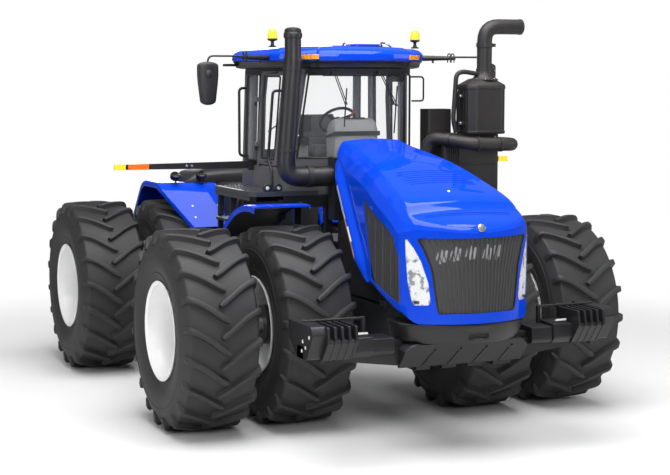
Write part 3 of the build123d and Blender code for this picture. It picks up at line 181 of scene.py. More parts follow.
TYRE_LOW, TYRE_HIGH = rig.box("front_left_tyres")
TYRE_RADIUS = (TYRE_HIGH.z - TYRE_LOW.z) / 2
AXLE_HEIGHT = (TYRE_HIGH.z + TYRE_LOW.z) / 2
FRONT_Y = (TYRE_HIGH.y + TYRE_LOW.y) / 2
REAR_LOW, REAR_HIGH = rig.box("rear_left_tyres")
REAR_Y = (REAR_HIGH.y + REAR_LOW.y) / 2
SIDES = (("right", -1), ("left", 1))


def aft(distance):
    """The y of a place that far behind the front axle."""
    return FRONT_Y + distance


# ---------------------------------------------------------------- shader maths


class Value:
    """A shader socket that takes part in ordinary sums; each operation adds its Math node."""

    def __init__(self, shading, socket):
        self.shading = shading
        self.socket = socket

    def _math(self, operation, first, second=0.0):
        return self.shading.node("ShaderNodeMath", {"operation": operation}, i0=first, i1=second)

    def __add__(self, other):
        return self._math("ADD", self, other)

    def __radd__(self, other):
        return self._math("ADD", other, self)

    def __sub__(self, other):
        return self._math("SUBTRACT", self, other)

    def __rsub__(self, other):
        return self._math("SUBTRACT", other, self)

    def __mul__(self, other):
        return self._math("MULTIPLY", self, other)

    def __rmul__(self, other):
        return self._math("MULTIPLY", other, self)

    def __abs__(self):
        return self._math("ABSOLUTE", self)

    def wave(self):
        """The sine of the value."""
        return self._math("SINE", self)


class Shading:
    """A node tree in the making."""

    def __init__(self, tree):
        self.tree = tree

    def feed(self, socket, item):
        """Gives a socket a value or a link."""
        if isinstance(item, Value):
            self.tree.links.new(item.socket, socket)
        elif socket.type == "RGBA" and len(item) == 3:
            socket.default_value = (*item, 1.0)
        else:
            socket.default_value = item

    def node(self, kind, settings=None, output=0, **sockets):
        """One node: its settings first, then the values or links of its sockets.

        A socket is named with underscores for spaces, or as i0, i1 and so on by its place.
        """
        made = self.tree.nodes.new(kind)
        for name, value in (settings or {}).items():
            setattr(made, name, value)
        for name, item in sockets.items():
            numbered = name[0] == "i" and name[1:].isdigit()
            self.feed(made.inputs[int(name[1:]) if numbered else name.replace("_", " ")], item)
        return Value(self, made.outputs[output])


class Finish(Shading):
    """One material in the making: a Principled shader and the nodes that feed it."""

    def __init__(self, name, color, roughness, **fixed):
        self.material = bpy.data.materials.new(name.replace("_", " "))
        self.material.use_nodes = True
        self.material.diffuse_color = (*color, 1.0)
        super().__init__(self.material.node_tree)
        self.shader = self.tree.nodes["Principled BSDF"]
        self.set(Base_Color=color, Roughness=roughness, **fixed)
        self.place = self.node("ShaderNodeTexCoord", output="Object")

    def set(self, **sockets):
        """Values or links for the shader's own sockets; an underscore stands for a space."""
        for name, item in sockets.items():
            self.feed(self.shader.inputs[name.replace("_", " ")], item)

    def noise(self, scale, detail=3.0, stretch=(1.0, 1.0, 1.0)):
        """Noise from 0 to 1 that rides with the piece; stretch multiplies its scale along each axis."""
        where = self.node("ShaderNodeMapping", Vector=self.place, Scale=stretch)
        return self.node("ShaderNodeTexNoise", Vector=where, Scale=scale, Detail=detail)

    def along(self, axis):
        """One coordinate of the place on the piece, in metres."""
        return self.node("ShaderNodeSeparateXYZ", output=axis, Vector=self.place)

    def mix(self, factor, first, second):
        """A colour between two others."""
        return self.node("ShaderNodeMix", {"data_type": "RGBA"}, output=2, i0=factor, i6=first, i7=second)

    def bump(self, height, strength, distance):
        """Small relief that is too fine for the mesh."""
        self.set(Normal=self.node("ShaderNodeBump", Height=height, Strength=strength, Distance=distance))


# ---------------------------------------------------------------- finishes

RECIPES = {}
MADE = {}


def recipe(maker):
    """Lists a function that fills in one material under the function's name."""
    RECIPES[maker.__name__] = maker
    return maker


def finish(name):
    """The material of that name, made when it is first asked for."""
    if name not in MADE:
        MADE[name] = RECIPES[name]().material
    return MADE[name]


def painted(name, color, roughness, coat, speckle=180.0, relief=0.05, gloss=1.5, sheen=0.2):
    """Sprayed paint: broad uneven dust and a fine orange peel."""
    f = Finish(name, color, roughness, Coat_Weight=coat, Coat_Roughness=0.04, Coat_IOR=gloss,
               Specular_IOR_Level=sheen)
    dust = f.noise(1.9, 5.0)
    dark = tuple(c * 0.86 for c in color)
    pale = tuple(min(1.0, c * 1.1 + 0.002) for c in color)
    f.set(Base_Color=f.mix(dust, dark, pale), Roughness=roughness * 0.8 + dust * (roughness * 0.4))
    f.bump(f.noise(speckle, 3.0), relief, 0.0006)
    return f


@recipe
def blue_paint():
    return painted("blue_paint", tuple(bpy.context.scene.tractor_finishes.body_color), 0.3, 0.8, gloss=1.36,
                   sheen=0.0)


@recipe
def dark_paint():
    return painted("dark_paint", tuple(bpy.context.scene.tractor_finishes.chassis_color), 0.42, 0.15,
                   relief=0.12)


@recipe
def grey_paint():
    return painted("grey_paint", (0.055, 0.057, 0.062), 0.45, 0.1, speckle=90.0, relief=0.2)


@recipe
def smoked_panel():
    """Grey pressed trim with a soft shine, as on the cab's posts and door."""
    return painted("smoked_panel", (0.115, 0.115, 0.125), 0.4, 0.3, speckle=60.0)


@recipe
def pale_lining():
    return painted("pale_lining", (0.3, 0.3, 0.31), 0.65, 0.0, speckle=260.0, relief=0.25)


@recipe
def white_paint():
    return painted("white_paint", tuple(bpy.context.scene.tractor_finishes.rim_color), 0.35, 0.3)


@recipe
def yellow_stripe():
    return painted("yellow_stripe", (0.9, 0.42, 0.01), 0.35, 0.3)


@recipe
def white_stripe():
    return painted("white_stripe", (0.8, 0.8, 0.78), 0.35, 0.3)


@recipe
def beacon_yellow():
    f = Finish("beacon_yellow", (1.0, 0.62, 0.0), 0.18, Coat_Weight=0.5, Emission_Color=(1.0, 0.6, 0.0),
               Emission_Strength=0.25)
    ribs = abs((f.along("Z") * 900.0).wave())
    f.set(Base_Color=f.mix(ribs, (0.95, 0.5, 0.0), (1.0, 0.74, 0.03)))
    f.bump(ribs, 0.3, 0.002)
    return f


@recipe
def orange_plastic():
    return painted("orange_plastic", (0.9, 0.17, 0.01), 0.35, 0.3)


@recipe
def tyre_rubber():
    """Matt rubber: broad paler scuffs, a fine grain and faint moulding lines across the tread."""
    f = Finish("tyre_rubber", (0.02, 0.02, 0.021), 0.62)
    scuffs = f.noise(4.0, 6.0)
    grain = f.noise(150.0, 4.0)
    dark, pale = bpy.context.scene.tractor_tyres.rubber_dark, bpy.context.scene.tractor_tyres.rubber_pale
    f.set(Base_Color=f.mix(scuffs, tuple(dark), tuple(pale)), Roughness=0.5 + scuffs * 0.22)
    f.bump(grain, 0.3, 0.0012)
    return f


@recipe
def black_plastic():
    """Moulded black plastic with a fine leather grain."""
    f = Finish("black_plastic", (0.012, 0.012, 0.013), 0.42)
    grain = f.node("ShaderNodeTexVoronoi", output="Distance", Vector=f.place, Scale=420.0)
    handled = f.noise(5.0, 4.0)
    f.set(Base_Color=f.mix(handled, (0.006, 0.006, 0.007), (0.016, 0.016, 0.018)),
          Roughness=0.34 + handled * 0.16)
    f.bump(grain, 0.2, 0.0006)
    return f


@recipe
def grille_mesh():
    """Fine black mesh: small square holes between thin bars."""
    f = Finish("grille_mesh", (0.03, 0.03, 0.031), 0.5, Metallic=0.2)
    holes = abs((f.along("X") * 520.0).wave()) * abs((f.along("Z") * 520.0).wave())
    f.set(Base_Color=f.mix(holes, (0.075, 0.075, 0.077), (0.02, 0.02, 0.021)), Roughness=0.4 + holes * 0.3)
    f.bump(1.0 - holes, 0.6, 0.002)
    return f


@recipe
def grille_rib():
    return painted("grille_rib", (0.075, 0.075, 0.077), 0.4, 0.1, speckle=200.0)


@recipe
def exhaust_steel():
    """Heat-proof black, browned where it runs hot."""
    f = Finish("exhaust_steel", (0.02, 0.02, 0.022), 0.5, Metallic=0.25)
    heat = f.noise(3.5, 6.0)
    f.set(Base_Color=f.mix(heat, (0.012, 0.012, 0.014), (0.042, 0.037, 0.034)), Roughness=0.38 + heat * 0.26)
    f.bump(f.noise(120.0, 3.0), 0.15, 0.0008)
    return f


@recipe
def window_glass():
    """Clear safety glass with a faint grey tint and slightly uneven polish."""
    f = Finish("window_glass", (0.62, 0.66, 0.68), 0.03, Alpha=0.045)
    f.set(Roughness=0.015 + f.noise(2.0, 2.0) * 0.04)
    return f


@recipe
def lamp_glass():
    """Clear moulded lens with fine upright flutes."""
    f = Finish("lamp_glass", (0.9, 0.92, 0.95), 0.05, Alpha=0.1, Coat_Weight=0.8)
    f.bump((f.along("X") * 700.0).wave(), 0.15, 0.0006)
    f.set(Roughness=0.03 + f.noise(30.0, 2.0) * 0.06)
    return f


@recipe
def lamp_reflector():
    """Vapour-plated reflector, broken into facets, with dark blotches in its colour as painted reflections."""
    f = Finish("lamp_reflector", (0.95, 0.96, 0.97), 0.16, Metallic=0.25)
    facets = f.node("ShaderNodeTexVoronoi", output="Distance", Vector=f.place, Scale=34.0)
    # Dark blotches mixed into the reflector's colour: painted reflections.
    specks = (f.noise(15.0, 3.0) - 0.55) * 11.0
    f.set(Base_Color=f.mix(specks, (0.88, 0.89, 0.9), (0.22, 0.23, 0.25)), Roughness=0.1 + facets * 0.2)
    f.bump(facets, 0.5, 0.006)
    return f


def ribbed_lens(name, color, dark):
    f = Finish(name, color, 0.14, Coat_Weight=0.7)
    ribs = (f.along("Z") * 620.0).wave() * 0.5 + 0.5
    f.set(Base_Color=f.mix(ribs, dark, color))
    f.bump(ribs, 0.3, 0.0008)
    return f


@recipe
def amber_plastic():
    return ribbed_lens("amber_plastic", (1.0, 0.45, 0.02), (0.85, 0.3, 0.0))


@recipe
def red_plastic():
    return ribbed_lens("red_plastic", (0.65, 0.015, 0.01), (0.35, 0.005, 0.005))


@recipe
def seat_fabric():
    """Grey woven seat cloth."""
    f = Finish("seat_fabric", (0.16, 0.16, 0.165), 0.9, Sheen_Weight=0.3)
    threads = (f.along("X") * 1500.0).wave() * ((f.along("Y") + f.along("Z")) * 1500.0).wave() * 0.5 + 0.5
    rubbed = f.noise(9.0, 4.0)
    f.set(Base_Color=f.mix(threads * rubbed, (0.1, 0.1, 0.105), (0.26, 0.26, 0.27)),
          Roughness=0.75 + rubbed * 0.2)
    f.bump(threads, 0.4, 0.0012)
    return f


@recipe
def bright_steel():
    """Bare machined steel with turning marks."""
    f = Finish("bright_steel", (0.55, 0.55, 0.56), 0.3, Metallic=1.0)
    marks = f.noise(30.0, 3.0, stretch=(1.0, 30.0, 1.0))
    f.set(Base_Color=f.mix(marks, (0.45, 0.45, 0.46), (0.65, 0.65, 0.66)), Roughness=0.2 + marks * 0.2)
    f.bump(marks, 0.05, 0.0004)
    return f


@recipe
def cast_iron():
    """Painted castings of engine and axles: rough skin, oily in patches."""
    f = Finish("cast_iron", (0.03, 0.031, 0.034), 0.55)
    oil = f.noise(2.6, 6.0)
    f.set(Base_Color=f.mix(oil, (0.014, 0.014, 0.016), (0.045, 0.046, 0.05)), Roughness=0.35 + oil * 0.35)
    f.bump(f.noise(60.0, 5.0), 0.35, 0.0018)
    return f


# The names of the finishes that most pieces share.
BLACK = "black_plastic"
STEEL = "bright_steel"
EXHAUST = "exhaust_steel"
BLUE = "blue_paint"
DARK = "dark_paint"
GREY = "grey_paint"
LINING = "pale_lining"
PANEL = "smoked_panel"


# ---------------------------------------------------------------- mesh tools


def smooth_between(stops, at):
    """A smooth curve through (position, value) stops, read at one position; flat beyond its ends."""
    stops = sorted(stops)
    if at <= stops[0][0]:
        return stops[0][1]
    if at >= stops[-1][0]:
        return stops[-1][1]
    slopes = [(b[1] - a[1]) / (b[0] - a[0]) for a, b in zip(stops, stops[1:])]
    tangents = [slopes[0]] + [0 if s * t <= 0 else 2 * s * t / (s + t) for s, t in zip(slopes, slopes[1:])]
    tangents.append(slopes[-1])
    k = next(i for i in range(len(slopes)) if at <= stops[i + 1][0])
    (x0, y0), (x1, y1) = stops[k], stops[k + 1]
    span = x1 - x0
    t = (at - x0) / span
    return ((2 * t**3 - 3 * t**2 + 1) * y0 + (t**3 - 2 * t**2 + t) * span * tangents[k]
            + (3 * t**2 - 2 * t**3) * y1 + (t**3 - t**2) * span * tangents[k + 1])


def straight_between(stops, at):
    """The value at one position on straight lines through (position, value) stops."""
    stops = sorted(stops)
    for (x0, y0), (x1, y1) in zip(stops, stops[1:]):
        if at <= x1:
            return y0 + (y1 - y0) * max(0.0, at - x0) / (x1 - x0)
    return stops[-1][1]


def arc(centre, radius, start, end, steps):
    """Points on a flat arc; angles in degrees."""
    angles = [math.radians(start + (end - start) * k / steps) for k in range(steps + 1)]
    return [(centre[0] + radius * math.cos(a), centre[1] + radius * math.sin(a)) for a in angles]


def oblong(u0, v0, u1, v1):
    """The flat outline between two opposite corners."""
    return [(u0, v0), (u1, v0), (u1, v1), (u0, v1)]


def rounded(points, radius, steps=4):
    """A closed flat outline with its corners rounded by a curve that starts radius before each."""
    result = []
    for before, corner, after in zip(points[-1:] + points[:-1], points, points[1:] + points[:1]):
        before, corner, after = Vector(before), Vector(corner), Vector(after)
        cut_in = min(radius, (before - corner).length * 0.45)
        cut_out = min(radius, (after - corner).length * 0.45)
        a = corner + (before - corner).normalized() * cut_in
        b = corner + (after - corner).normalized() * cut_out
        for k in range(steps + 1):
            t = k / steps
            result.append(tuple(a * (1 - t) ** 2 + corner * 2 * t * (1 - t) + b * t * t))
    return result


def rounded_path(points, radius, steps=6):
    """An open route in space with its corners rounded."""
    points = [Vector(p) for p in points]
    result = [points[0]]
    for before, corner, after in zip(points, points[1:], points[2:]):
        a = corner + (before - corner).normalized() * min(radius, (before - corner).length * 0.48)
        b = corner + (after - corner).normalized() * min(radius, (after - corner).length * 0.48)
        for k in range(steps + 1):
            t = k / steps
            result.append(a * (1 - t) ** 2 + corner * 2 * t * (1 - t) + b * t * t)
    return result + [points[-1]]


def linked(name, data):
    """An object for a mesh, lamp or camera, put in the scene."""
    made = bpy.data.objects.new(name, data)
    bpy.context.scene.collection.objects.link(made)
    return made


class Shape:
    """Mesh in the making for one piece. Solids are added in metres, each with its finish.

    Most pieces ride on the front unit.
    """

    def __init__(self, name, body="front_unit"):
        self.name = name
        self.body = body
        self.mesh = bmesh.new()
        self.finishes = []

    def faces(self, points, faces, finish_name):
        """Raw faces by index into points."""
        if finish_name not in self.finishes:
            self.finishes.append(finish_name)
        index = self.finishes.index(finish_name)
        made = [self.mesh.verts.new(p) for p in points]
        for corners in faces:
            face = self.mesh.faces.new([made[i] for i in corners])
            face.material_index = index
        return made

    def loft(self, rings, finish_name, capped=True, looped=False):
        """Skin over rings of equal length, in order; looped joins the last ring to the first."""
        size = len(rings[0])
        points = [p for ring in rings for p in ring]
        faces = []
        for r in range(len(rings) if looped else len(rings) - 1):
            here, there = r * size, (r + 1) % len(rings) * size
            for k in range(size):
                n = (k + 1) % size
                faces.append((here + k, here + n, there + n, there + k))
        if capped and not looped:
            faces.append(tuple(range(size))[::-1])
            faces.append(tuple(range((len(rings) - 1) * size, len(rings) * size)))
        self.faces(points, faces, finish_name)

    def prism(self, outline, low, high, axis, finish_name):
        """A flat outline given a thickness along x, y or z; its pairs are the other two coordinates."""
        def at(u, v, w):
            return {"x": (w, u, v), "y": (u, w, v), "z": (u, v, w)}[axis]

        self.loft([[at(u, v, low) for u, v in outline], [at(u, v, high) for u, v in outline]], finish_name)

    def box(self, low, high, finish_name):
        """A block between two opposite corners."""
        self.prism(oblong(low[0], low[1], high[0], high[1]), low[2], high[2], "z", finish_name)

    def turned(self, profile, centre, axis, finish_name, steps=48, closed=False):
        """A profile of (distance along axis, radius) turned about the axis through centre."""
        centre = Vector(centre)
        axis = Vector(axis).normalized()
        across = axis.orthogonal().normalized()
        up = axis.cross(across)
        rings = []
        for along_axis, radius in profile:
            ring = []
            for k in range(steps):
                a = 2 * math.pi * k / steps
                ring.append(centre + axis * along_axis + (across * math.cos(a) + up * math.sin(a)) * radius)
            rings.append(ring)
        self.loft(rings, finish_name, capped=not closed, looped=closed)

    def band(self, centre, axis, inner, outer, half, finish_name, steps):
        """A flat clamp round a pipe, half of its width to either side of the centre."""
        self.turned([(-half, inner), (-half, outer), (half, outer), (half, inner)], centre, axis, finish_name,
                    steps, closed=True)

    def rod(self, start, end, radius, finish_name, steps=16, end_radius=None):
        """A round bar with slightly broken edges between two points."""
        start, end = Vector(start), Vector(end)
        far = radius if end_radius is None else end_radius
        length = (end - start).length
        lip = min(0.12 * min(radius, far), length / 4)
        profile = [(0, radius - lip), (lip, radius), (length - lip, far), (length, far - lip)]
        self.turned(profile, start, end - start, finish_name, steps)

    def tube(self, points, radius, finish_name, bend=0.05, steps=12, end_radius=None):
        """A round bar along a route with rounded corners."""
        route = rounded_path(points, bend)
        far = radius if end_radius is None else end_radius
        side = None
        rings = []
        for k, point in enumerate(route):
            ahead = (route[min(k + 1, len(route) - 1)] - route[max(k - 1, 0)]).normalized()
            side = ahead.orthogonal() if side is None else side - ahead * side.dot(ahead)
            side = side.normalized()
            up = ahead.cross(side)
            r = radius + (far - radius) * k / (len(route) - 1)
            rings.append([point + (side * math.cos(a) + up * math.sin(a)) * r
                          for a in (2 * math.pi * s / steps for s in range(steps))])
        self.loft(rings, finish_name)

    def bolt(self, centre, axis, size, finish_name=STEEL):
        """A six-sided bolt head on its washer."""
        self.turned([(0, size * 1.35), (size * 0.22, size * 1.3)], centre, axis, finish_name, 16)
        self.turned([(size * 0.2, size), (size * 0.8, size), (size * 0.95, size * 0.86)], centre, axis,
                    finish_name, 6)

    def data(self):
        """The finished mesh, with its faces turned outwards."""
        bmesh.ops.recalc_face_normals(self.mesh, faces=self.mesh.faces)
        data = bpy.data.meshes.new(self.name)
        self.mesh.to_mesh(data)
        self.mesh.free()
        return data

    def done(self, bevel=0.0, segments=2, sharp=34, replaces=(), slot=None, thickness=0.0):
        """Turns the mesh into a piece that rides on its body."""
        data = self.data()
        data.shade_smooth()
        data.set_sharp_from_angle(angle=math.radians(sharp))
        piece = linked(self.name, data)
        for name in self.finishes:
            data.materials.append(finish(name))
        if thickness:
            solid = piece.modifiers.new("Thickness", "SOLIDIFY")
            solid.thickness = thickness
            solid.offset = -1
        if bevel:
            edges = piece.modifiers.new("Edges", "BEVEL")
            edges.width = bevel
            edges.segments = segments
            edges.limit_method = "ANGLE"
            edges.angle_limit = math.radians(38)
            edges.harden_normals = True
        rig.ride(piece, self.body)
        if replaces:
            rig.replaces(piece, *replaces)
        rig.slot(piece, slot or SLOT_OF.get(self.finishes[0], self.finishes[0]))
        return piece


# The record's slot for finishes that it doesn't name itself.
SLOT_OF = {LINING: GREY, "beacon_yellow": "amber_plastic", "grille_mesh": BLACK,
           "lamp_reflector": "lamp_glass", "cast_iron": DARK, "yellow_stripe": "amber_plastic",
           "white_stripe": "white_paint", "orange_plastic": "amber_plastic"}


# ---------------------------------------------------------------- settings


class FinishSettings(bpy.types.PropertyGroup):
    """Main colours."""

    body_color: bpy.props.FloatVectorProperty(
        name="Body", description="Paint of hood, roof and fenders", subtype="COLOR", size=3, min=0, max=1,
        default=(0.001, 0.055, 0.66))
    chassis_color: bpy.props.FloatVectorProperty(
        name="Chassis", description="Paint of frame, cab posts and platforms", subtype="COLOR", size=3, min=0,
        max=1, default=(0.02, 0.021, 0.024))
    rim_color: bpy.props.FloatVectorProperty(
        name="Rims", description="Paint of the wheel rims", subtype="COLOR", size=3, min=0, max=1,
        default=(0.93, 0.93, 0.93))


class TyreSettings(bpy.types.PropertyGroup):
    """Tread of the tyres."""

    lugs: bpy.props.IntProperty(
        name="Lugs a side", description="Tread bars on each side of the tyre", default=20, min=8, max=30)
    lug_height: bpy.props.FloatProperty(
        name="Lug height", description="How far a bar stands above the tread's floor", default=0.055,
        min=0.01, max=0.09, unit="LENGTH")
    lug_width: bpy.props.FloatProperty(
        name="Lug width", description="Width across the top of a bar", default=0.052, min=0.02, max=0.12,
        unit="LENGTH")
    lug_sweep: bpy.props.FloatProperty(
        name="Lug sweep", description="How far a bar runs round the tyre from its nose to the shoulder",
        default=0.235, min=0.0, max=0.5, unit="LENGTH")
    nose_overlap: bpy.props.FloatProperty(
        name="Nose overlap", description="How far a bar's nose crosses the middle of the tread", default=0.04,
        min=0.0, max=0.1, unit="LENGTH")
    rubber_dark: bpy.props.FloatVectorProperty(
        name="Rubber, dark", description="Rubber where it is clean", subtype="COLOR", size=3, min=0, max=1,
        default=(0.013, 0.013, 0.014))
    rubber_pale: bpy.props.FloatVectorProperty(
        name="Rubber, pale", description="Rubber where it is scuffed", subtype="COLOR", size=3, min=0, max=1,
        default=(0.031, 0.031, 0.032))


class StageSettings(bpy.types.PropertyGroup):
    """Camera, lights and floor."""

    camera_place: bpy.props.FloatVectorProperty(
        name="Camera", description="Where the camera stands", subtype="TRANSLATION", size=3,
        default=(-7.165, -16.825, 3.632))
    camera_bearing: bpy.props.FloatProperty(
        name="Bearing", description="Camera's turn from straight astern towards the left-hand side",
        subtype="ANGLE", default=math.radians(23.286))
    camera_dip: bpy.props.FloatProperty(
        name="Dip", description="How far the camera looks down", subtype="ANGLE",
        default=math.radians(5.785))
    lens: bpy.props.FloatProperty(
        name="Lens", description="Focal length on a 36 mm sensor", unit="CAMERA", default=85.31, min=10)
    floor_color: bpy.props.FloatVectorProperty(
        name="Floor", description="Colour of the floor", subtype="COLOR", size=3, min=0, max=1,
        default=(0.78, 0.78, 0.78))
    key_power: bpy.props.FloatProperty(
        name="Key light", description="Power of the soft light overhead", unit="POWER", default=1500.0, min=0)
    fill_power: bpy.props.FloatProperty(
        name="Fill light", description="Power of the soft light in front; the ones at the sides have half",
        unit="POWER", default=420.0, min=0)
    ambient: bpy.props.FloatProperty(
        name="Ambient", description="Strength of the even light from all round", default=0.33, min=0, max=2)


def tilted(place, target):
    """The rotation that turns a lamp or camera at place towards target."""
    return (Vector(target) - Vector(place)).to_track_quat("-Z", "Y").to_euler()


class TRACTOR_OT_stage(bpy.types.Operator):
    """Set up the floor, the soft lights and the camera"""

    bl_idname = "tractor.stage"
    bl_label = "Stage"

    def execute(self, context):
        settings = context.scene.tractor_stage
        self.floor(settings)
        self.world(settings)
        self.lights(settings)
        self.camera(context, settings)
        context.scene.view_settings.view_transform = "Standard"
        return {"FINISHED"}

    def floor(self, settings):
        """A pale floor that turns white with distance, so that no horizon shows."""
        half = 90.0
        data = bpy.data.meshes.new("floor")
        data.from_pydata([(-half, -half, 0), (half, -half, 0), (half, half, 0), (-half, half, 0)], [],
                         [(0, 1, 2, 3)])
        floor = linked("floor", data)
        color = tuple(settings.floor_color)
        f = Finish("floor", color, 0.9, Specular_IOR_Level=0.1)
        f.set(Base_Color=f.mix(f.noise(0.4, 2.0), color, tuple(c * 0.985 for c in color)))
        far = f.node("ShaderNodeVectorMath", {"operation": "LENGTH"}, output="Value", i0=f.place)
        whitening = f.node("ShaderNodeMapRange", {"interpolation_type": "SMOOTHSTEP"}, Value=far,
                           From_Min=4.6, From_Max=10.0)
        seen = f.node("ShaderNodeLightPath", output="Is Camera Ray")
        white = f.node("ShaderNodeEmission", Color=(1.0, 1.0, 1.0), Strength=1.0)
        both = f.node("ShaderNodeMixShader", i0=whitening * seen, i1=Value(f, f.shader.outputs[0]), i2=white)
        f.feed(f.tree.nodes["Material Output"].inputs["Surface"], both)
        data.materials.append(f.material)
        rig.stage(floor)

    def world(self, settings):
        """White where it is seen; as light, dimmer low down and even from half-way up."""
        world = bpy.data.worlds.new("studio")
        bpy.context.scene.world = world
        world.use_nodes = True
        s = Shading(world.node_tree)
        direction = s.node("ShaderNodeTexCoord", output="Generated")
        height = s.node("ShaderNodeSeparateXYZ", output="Z", Vector=direction)
        band = s.node("ShaderNodeMapRange", {"interpolation_type": "SMOOTHSTEP"}, Value=height,
                      From_Min=0.15, From_Max=0.5, To_Min=0.4, To_Max=1.0)
        light = s.node("ShaderNodeBackground", Color=(1.0, 1.0, 1.0), Strength=band * settings.ambient)
        white = s.node("ShaderNodeBackground", Color=(1.0, 1.0, 1.0), Strength=1.0)
        seen = s.node("ShaderNodeLightPath", output="Is Camera Ray")
        through = s.node("ShaderNodeLightPath", output="Is Transmission Ray")
        surface = s.node("ShaderNodeMixShader", i0=seen + through, i1=light, i2=white)
        s.feed(world.node_tree.nodes["World Output"].inputs["Surface"], surface)

    def lights(self, settings):
        key, fill = settings.key_power, settings.fill_power
        for name, place, target, size, power in (
            ("overhead", (-1.0, -3.0, 10.0), (0.0, -0.5, 0.0), 9.0, key),
            ("front", (-3.5, -13.0, 6.0), (0.0, -2.0, 1.5), 4.0, fill),
            ("right_side", (-11.0, -3.0, 4.0), (-1.0, 0.0, 1.5), 4.0, fill * 0.5),
            ("left_side", (10.0, -6.0, 5.0), (1.0, 0.0, 1.5), 4.0, fill * 0.5),
            ("behind", (3.0, 12.0, 5.0), (0.0, 2.0, 1.5), 4.0, fill * 0.5),
        ):
            data = bpy.data.lights.new(name, "AREA")
            data.shape = "SQUARE"
            data.size = size
            data.energy = power
            lamp = linked(name, data)
            lamp.location = place
            lamp.rotation_euler = tilted(place, target)

    def camera(self, context, settings):
        data = bpy.data.cameras.new("camera")
        data.lens = settings.lens
        data.sensor_width = 36.0
        data.clip_end = 200.0
        camera = linked("camera", data)
        camera.location = settings.camera_place
        camera.rotation_euler = (math.pi / 2 - settings.camera_dip, 0.0, -settings.camera_bearing)
        context.scene.camera = camera


class TRACTOR_OT_finishes(bpy.types.Operator):
    """Give every piece of the CAD model that stays its finish"""

    bl_idname = "tractor.finishes"
    bl_label = "Finishes of the CAD pieces"

    KEPT = {
        "cast_iron": ("front_axle", "rear_axle", "engine_block", "hinge_yoke"),
        DARK: ("front_frame", "rear_frame", "drawbar", "bulkhead", "right_steering_barrel",
                       "left_steering_barrel"),
        STEEL: ("right_steering_rod", "left_steering_rod"),
        BLACK: ("radiator",),
        PANEL: ("door_frame",),
    }

    def execute(self, context):
        finish_of = {node: name for name, nodes in self.KEPT.items() for node in nodes}
        slots = {part["node"]: part["material_slot"] for part in frame["record"]["subparts"]}
        for node, piece in frame["nodes"].items():
            piece.data.materials.clear()
            piece.data.materials.append(finish(finish_of.get(node, slots[node])))
        return {"FINISHED"}


# ---------------------------------------------------------------- wheels


class Tread:
    """One tyre's cross-section, measured along its outside from the middle of the tread."""

    SHOULDER = 0.058
    TREAD_HALF = 0.39
    EDGE_HALF = 0.35
    BEAD_HALF = 0.357
    BEAD_RADIUS = 0.518
    BULGE = (0.41, 0.746)

    def __init__(self, settings):
        self.height = settings.lug_height
        edge = TYRE_RADIUS - self.SHOULDER / 4
        crown = [(self.EDGE_HALF * k / 8, TYRE_RADIUS - self.SHOULDER / 4 * (k / 8) ** 2) for k in range(9)]
        wall = [(0.0, (self.TREAD_HALF, TYRE_RADIUS - self.SHOULDER)), (0.5, self.BULGE),
                (1.0, (self.BEAD_HALF, self.BEAD_RADIUS))]
        self.outline = crown + [(self.EDGE_HALF + 0.022, edge - 0.013)]
        for k in range(13):
            t = k / 12
            self.outline.append((smooth_between([(s, p[0]) for s, p in wall], t),
                                 smooth_between([(s, p[1]) for s, p in wall], t)))
        self.lengths = [0.0]
        for a, b in zip(self.outline, self.outline[1:]):
            self.lengths.append(self.lengths[-1] + math.dist(a, b))
        self.shoulder_at = self.lengths[10]
        self.end_at = self.lengths[-1]

    def top(self, s):
        """The point (across, radius) at a distance along the outside, on either side."""
        side = -1 if s < 0 else 1
        s = abs(s)
        return (side * straight_between(list(zip(self.lengths, (p[0] for p in self.outline))), s),
                straight_between(list(zip(self.lengths, (p[1] for p in self.outline))), s))

    def below(self, s, depth):
        """The same place, that deep under the outside."""
        (x0, r0), (x1, r1) = self.top(s - 0.012), self.top(s + 0.012)
        length = math.hypot(x1 - x0, r1 - r0)
        x, r = self.top(s)
        return (x + (r1 - r0) / length * depth, r - (x1 - x0) / length * depth)

    def depth(self, s):
        """How deep the tread's floor lies under the tops of the lugs."""
        return self.height * (1 - smooth_between([(self.shoulder_at - 0.02, 0.0),
                                                  (self.shoulder_at + 0.14, 1.0)], abs(s)))

    def sweep(self, s, settings):
        """How far round the tyre a lug has run, that far from the middle of the tread."""
        if s < 0:
            return 0.75 * s
        return settings.lug_sweep * math.sin(math.pi / 2 * min(1.0, s / 0.44)) ** 1.15


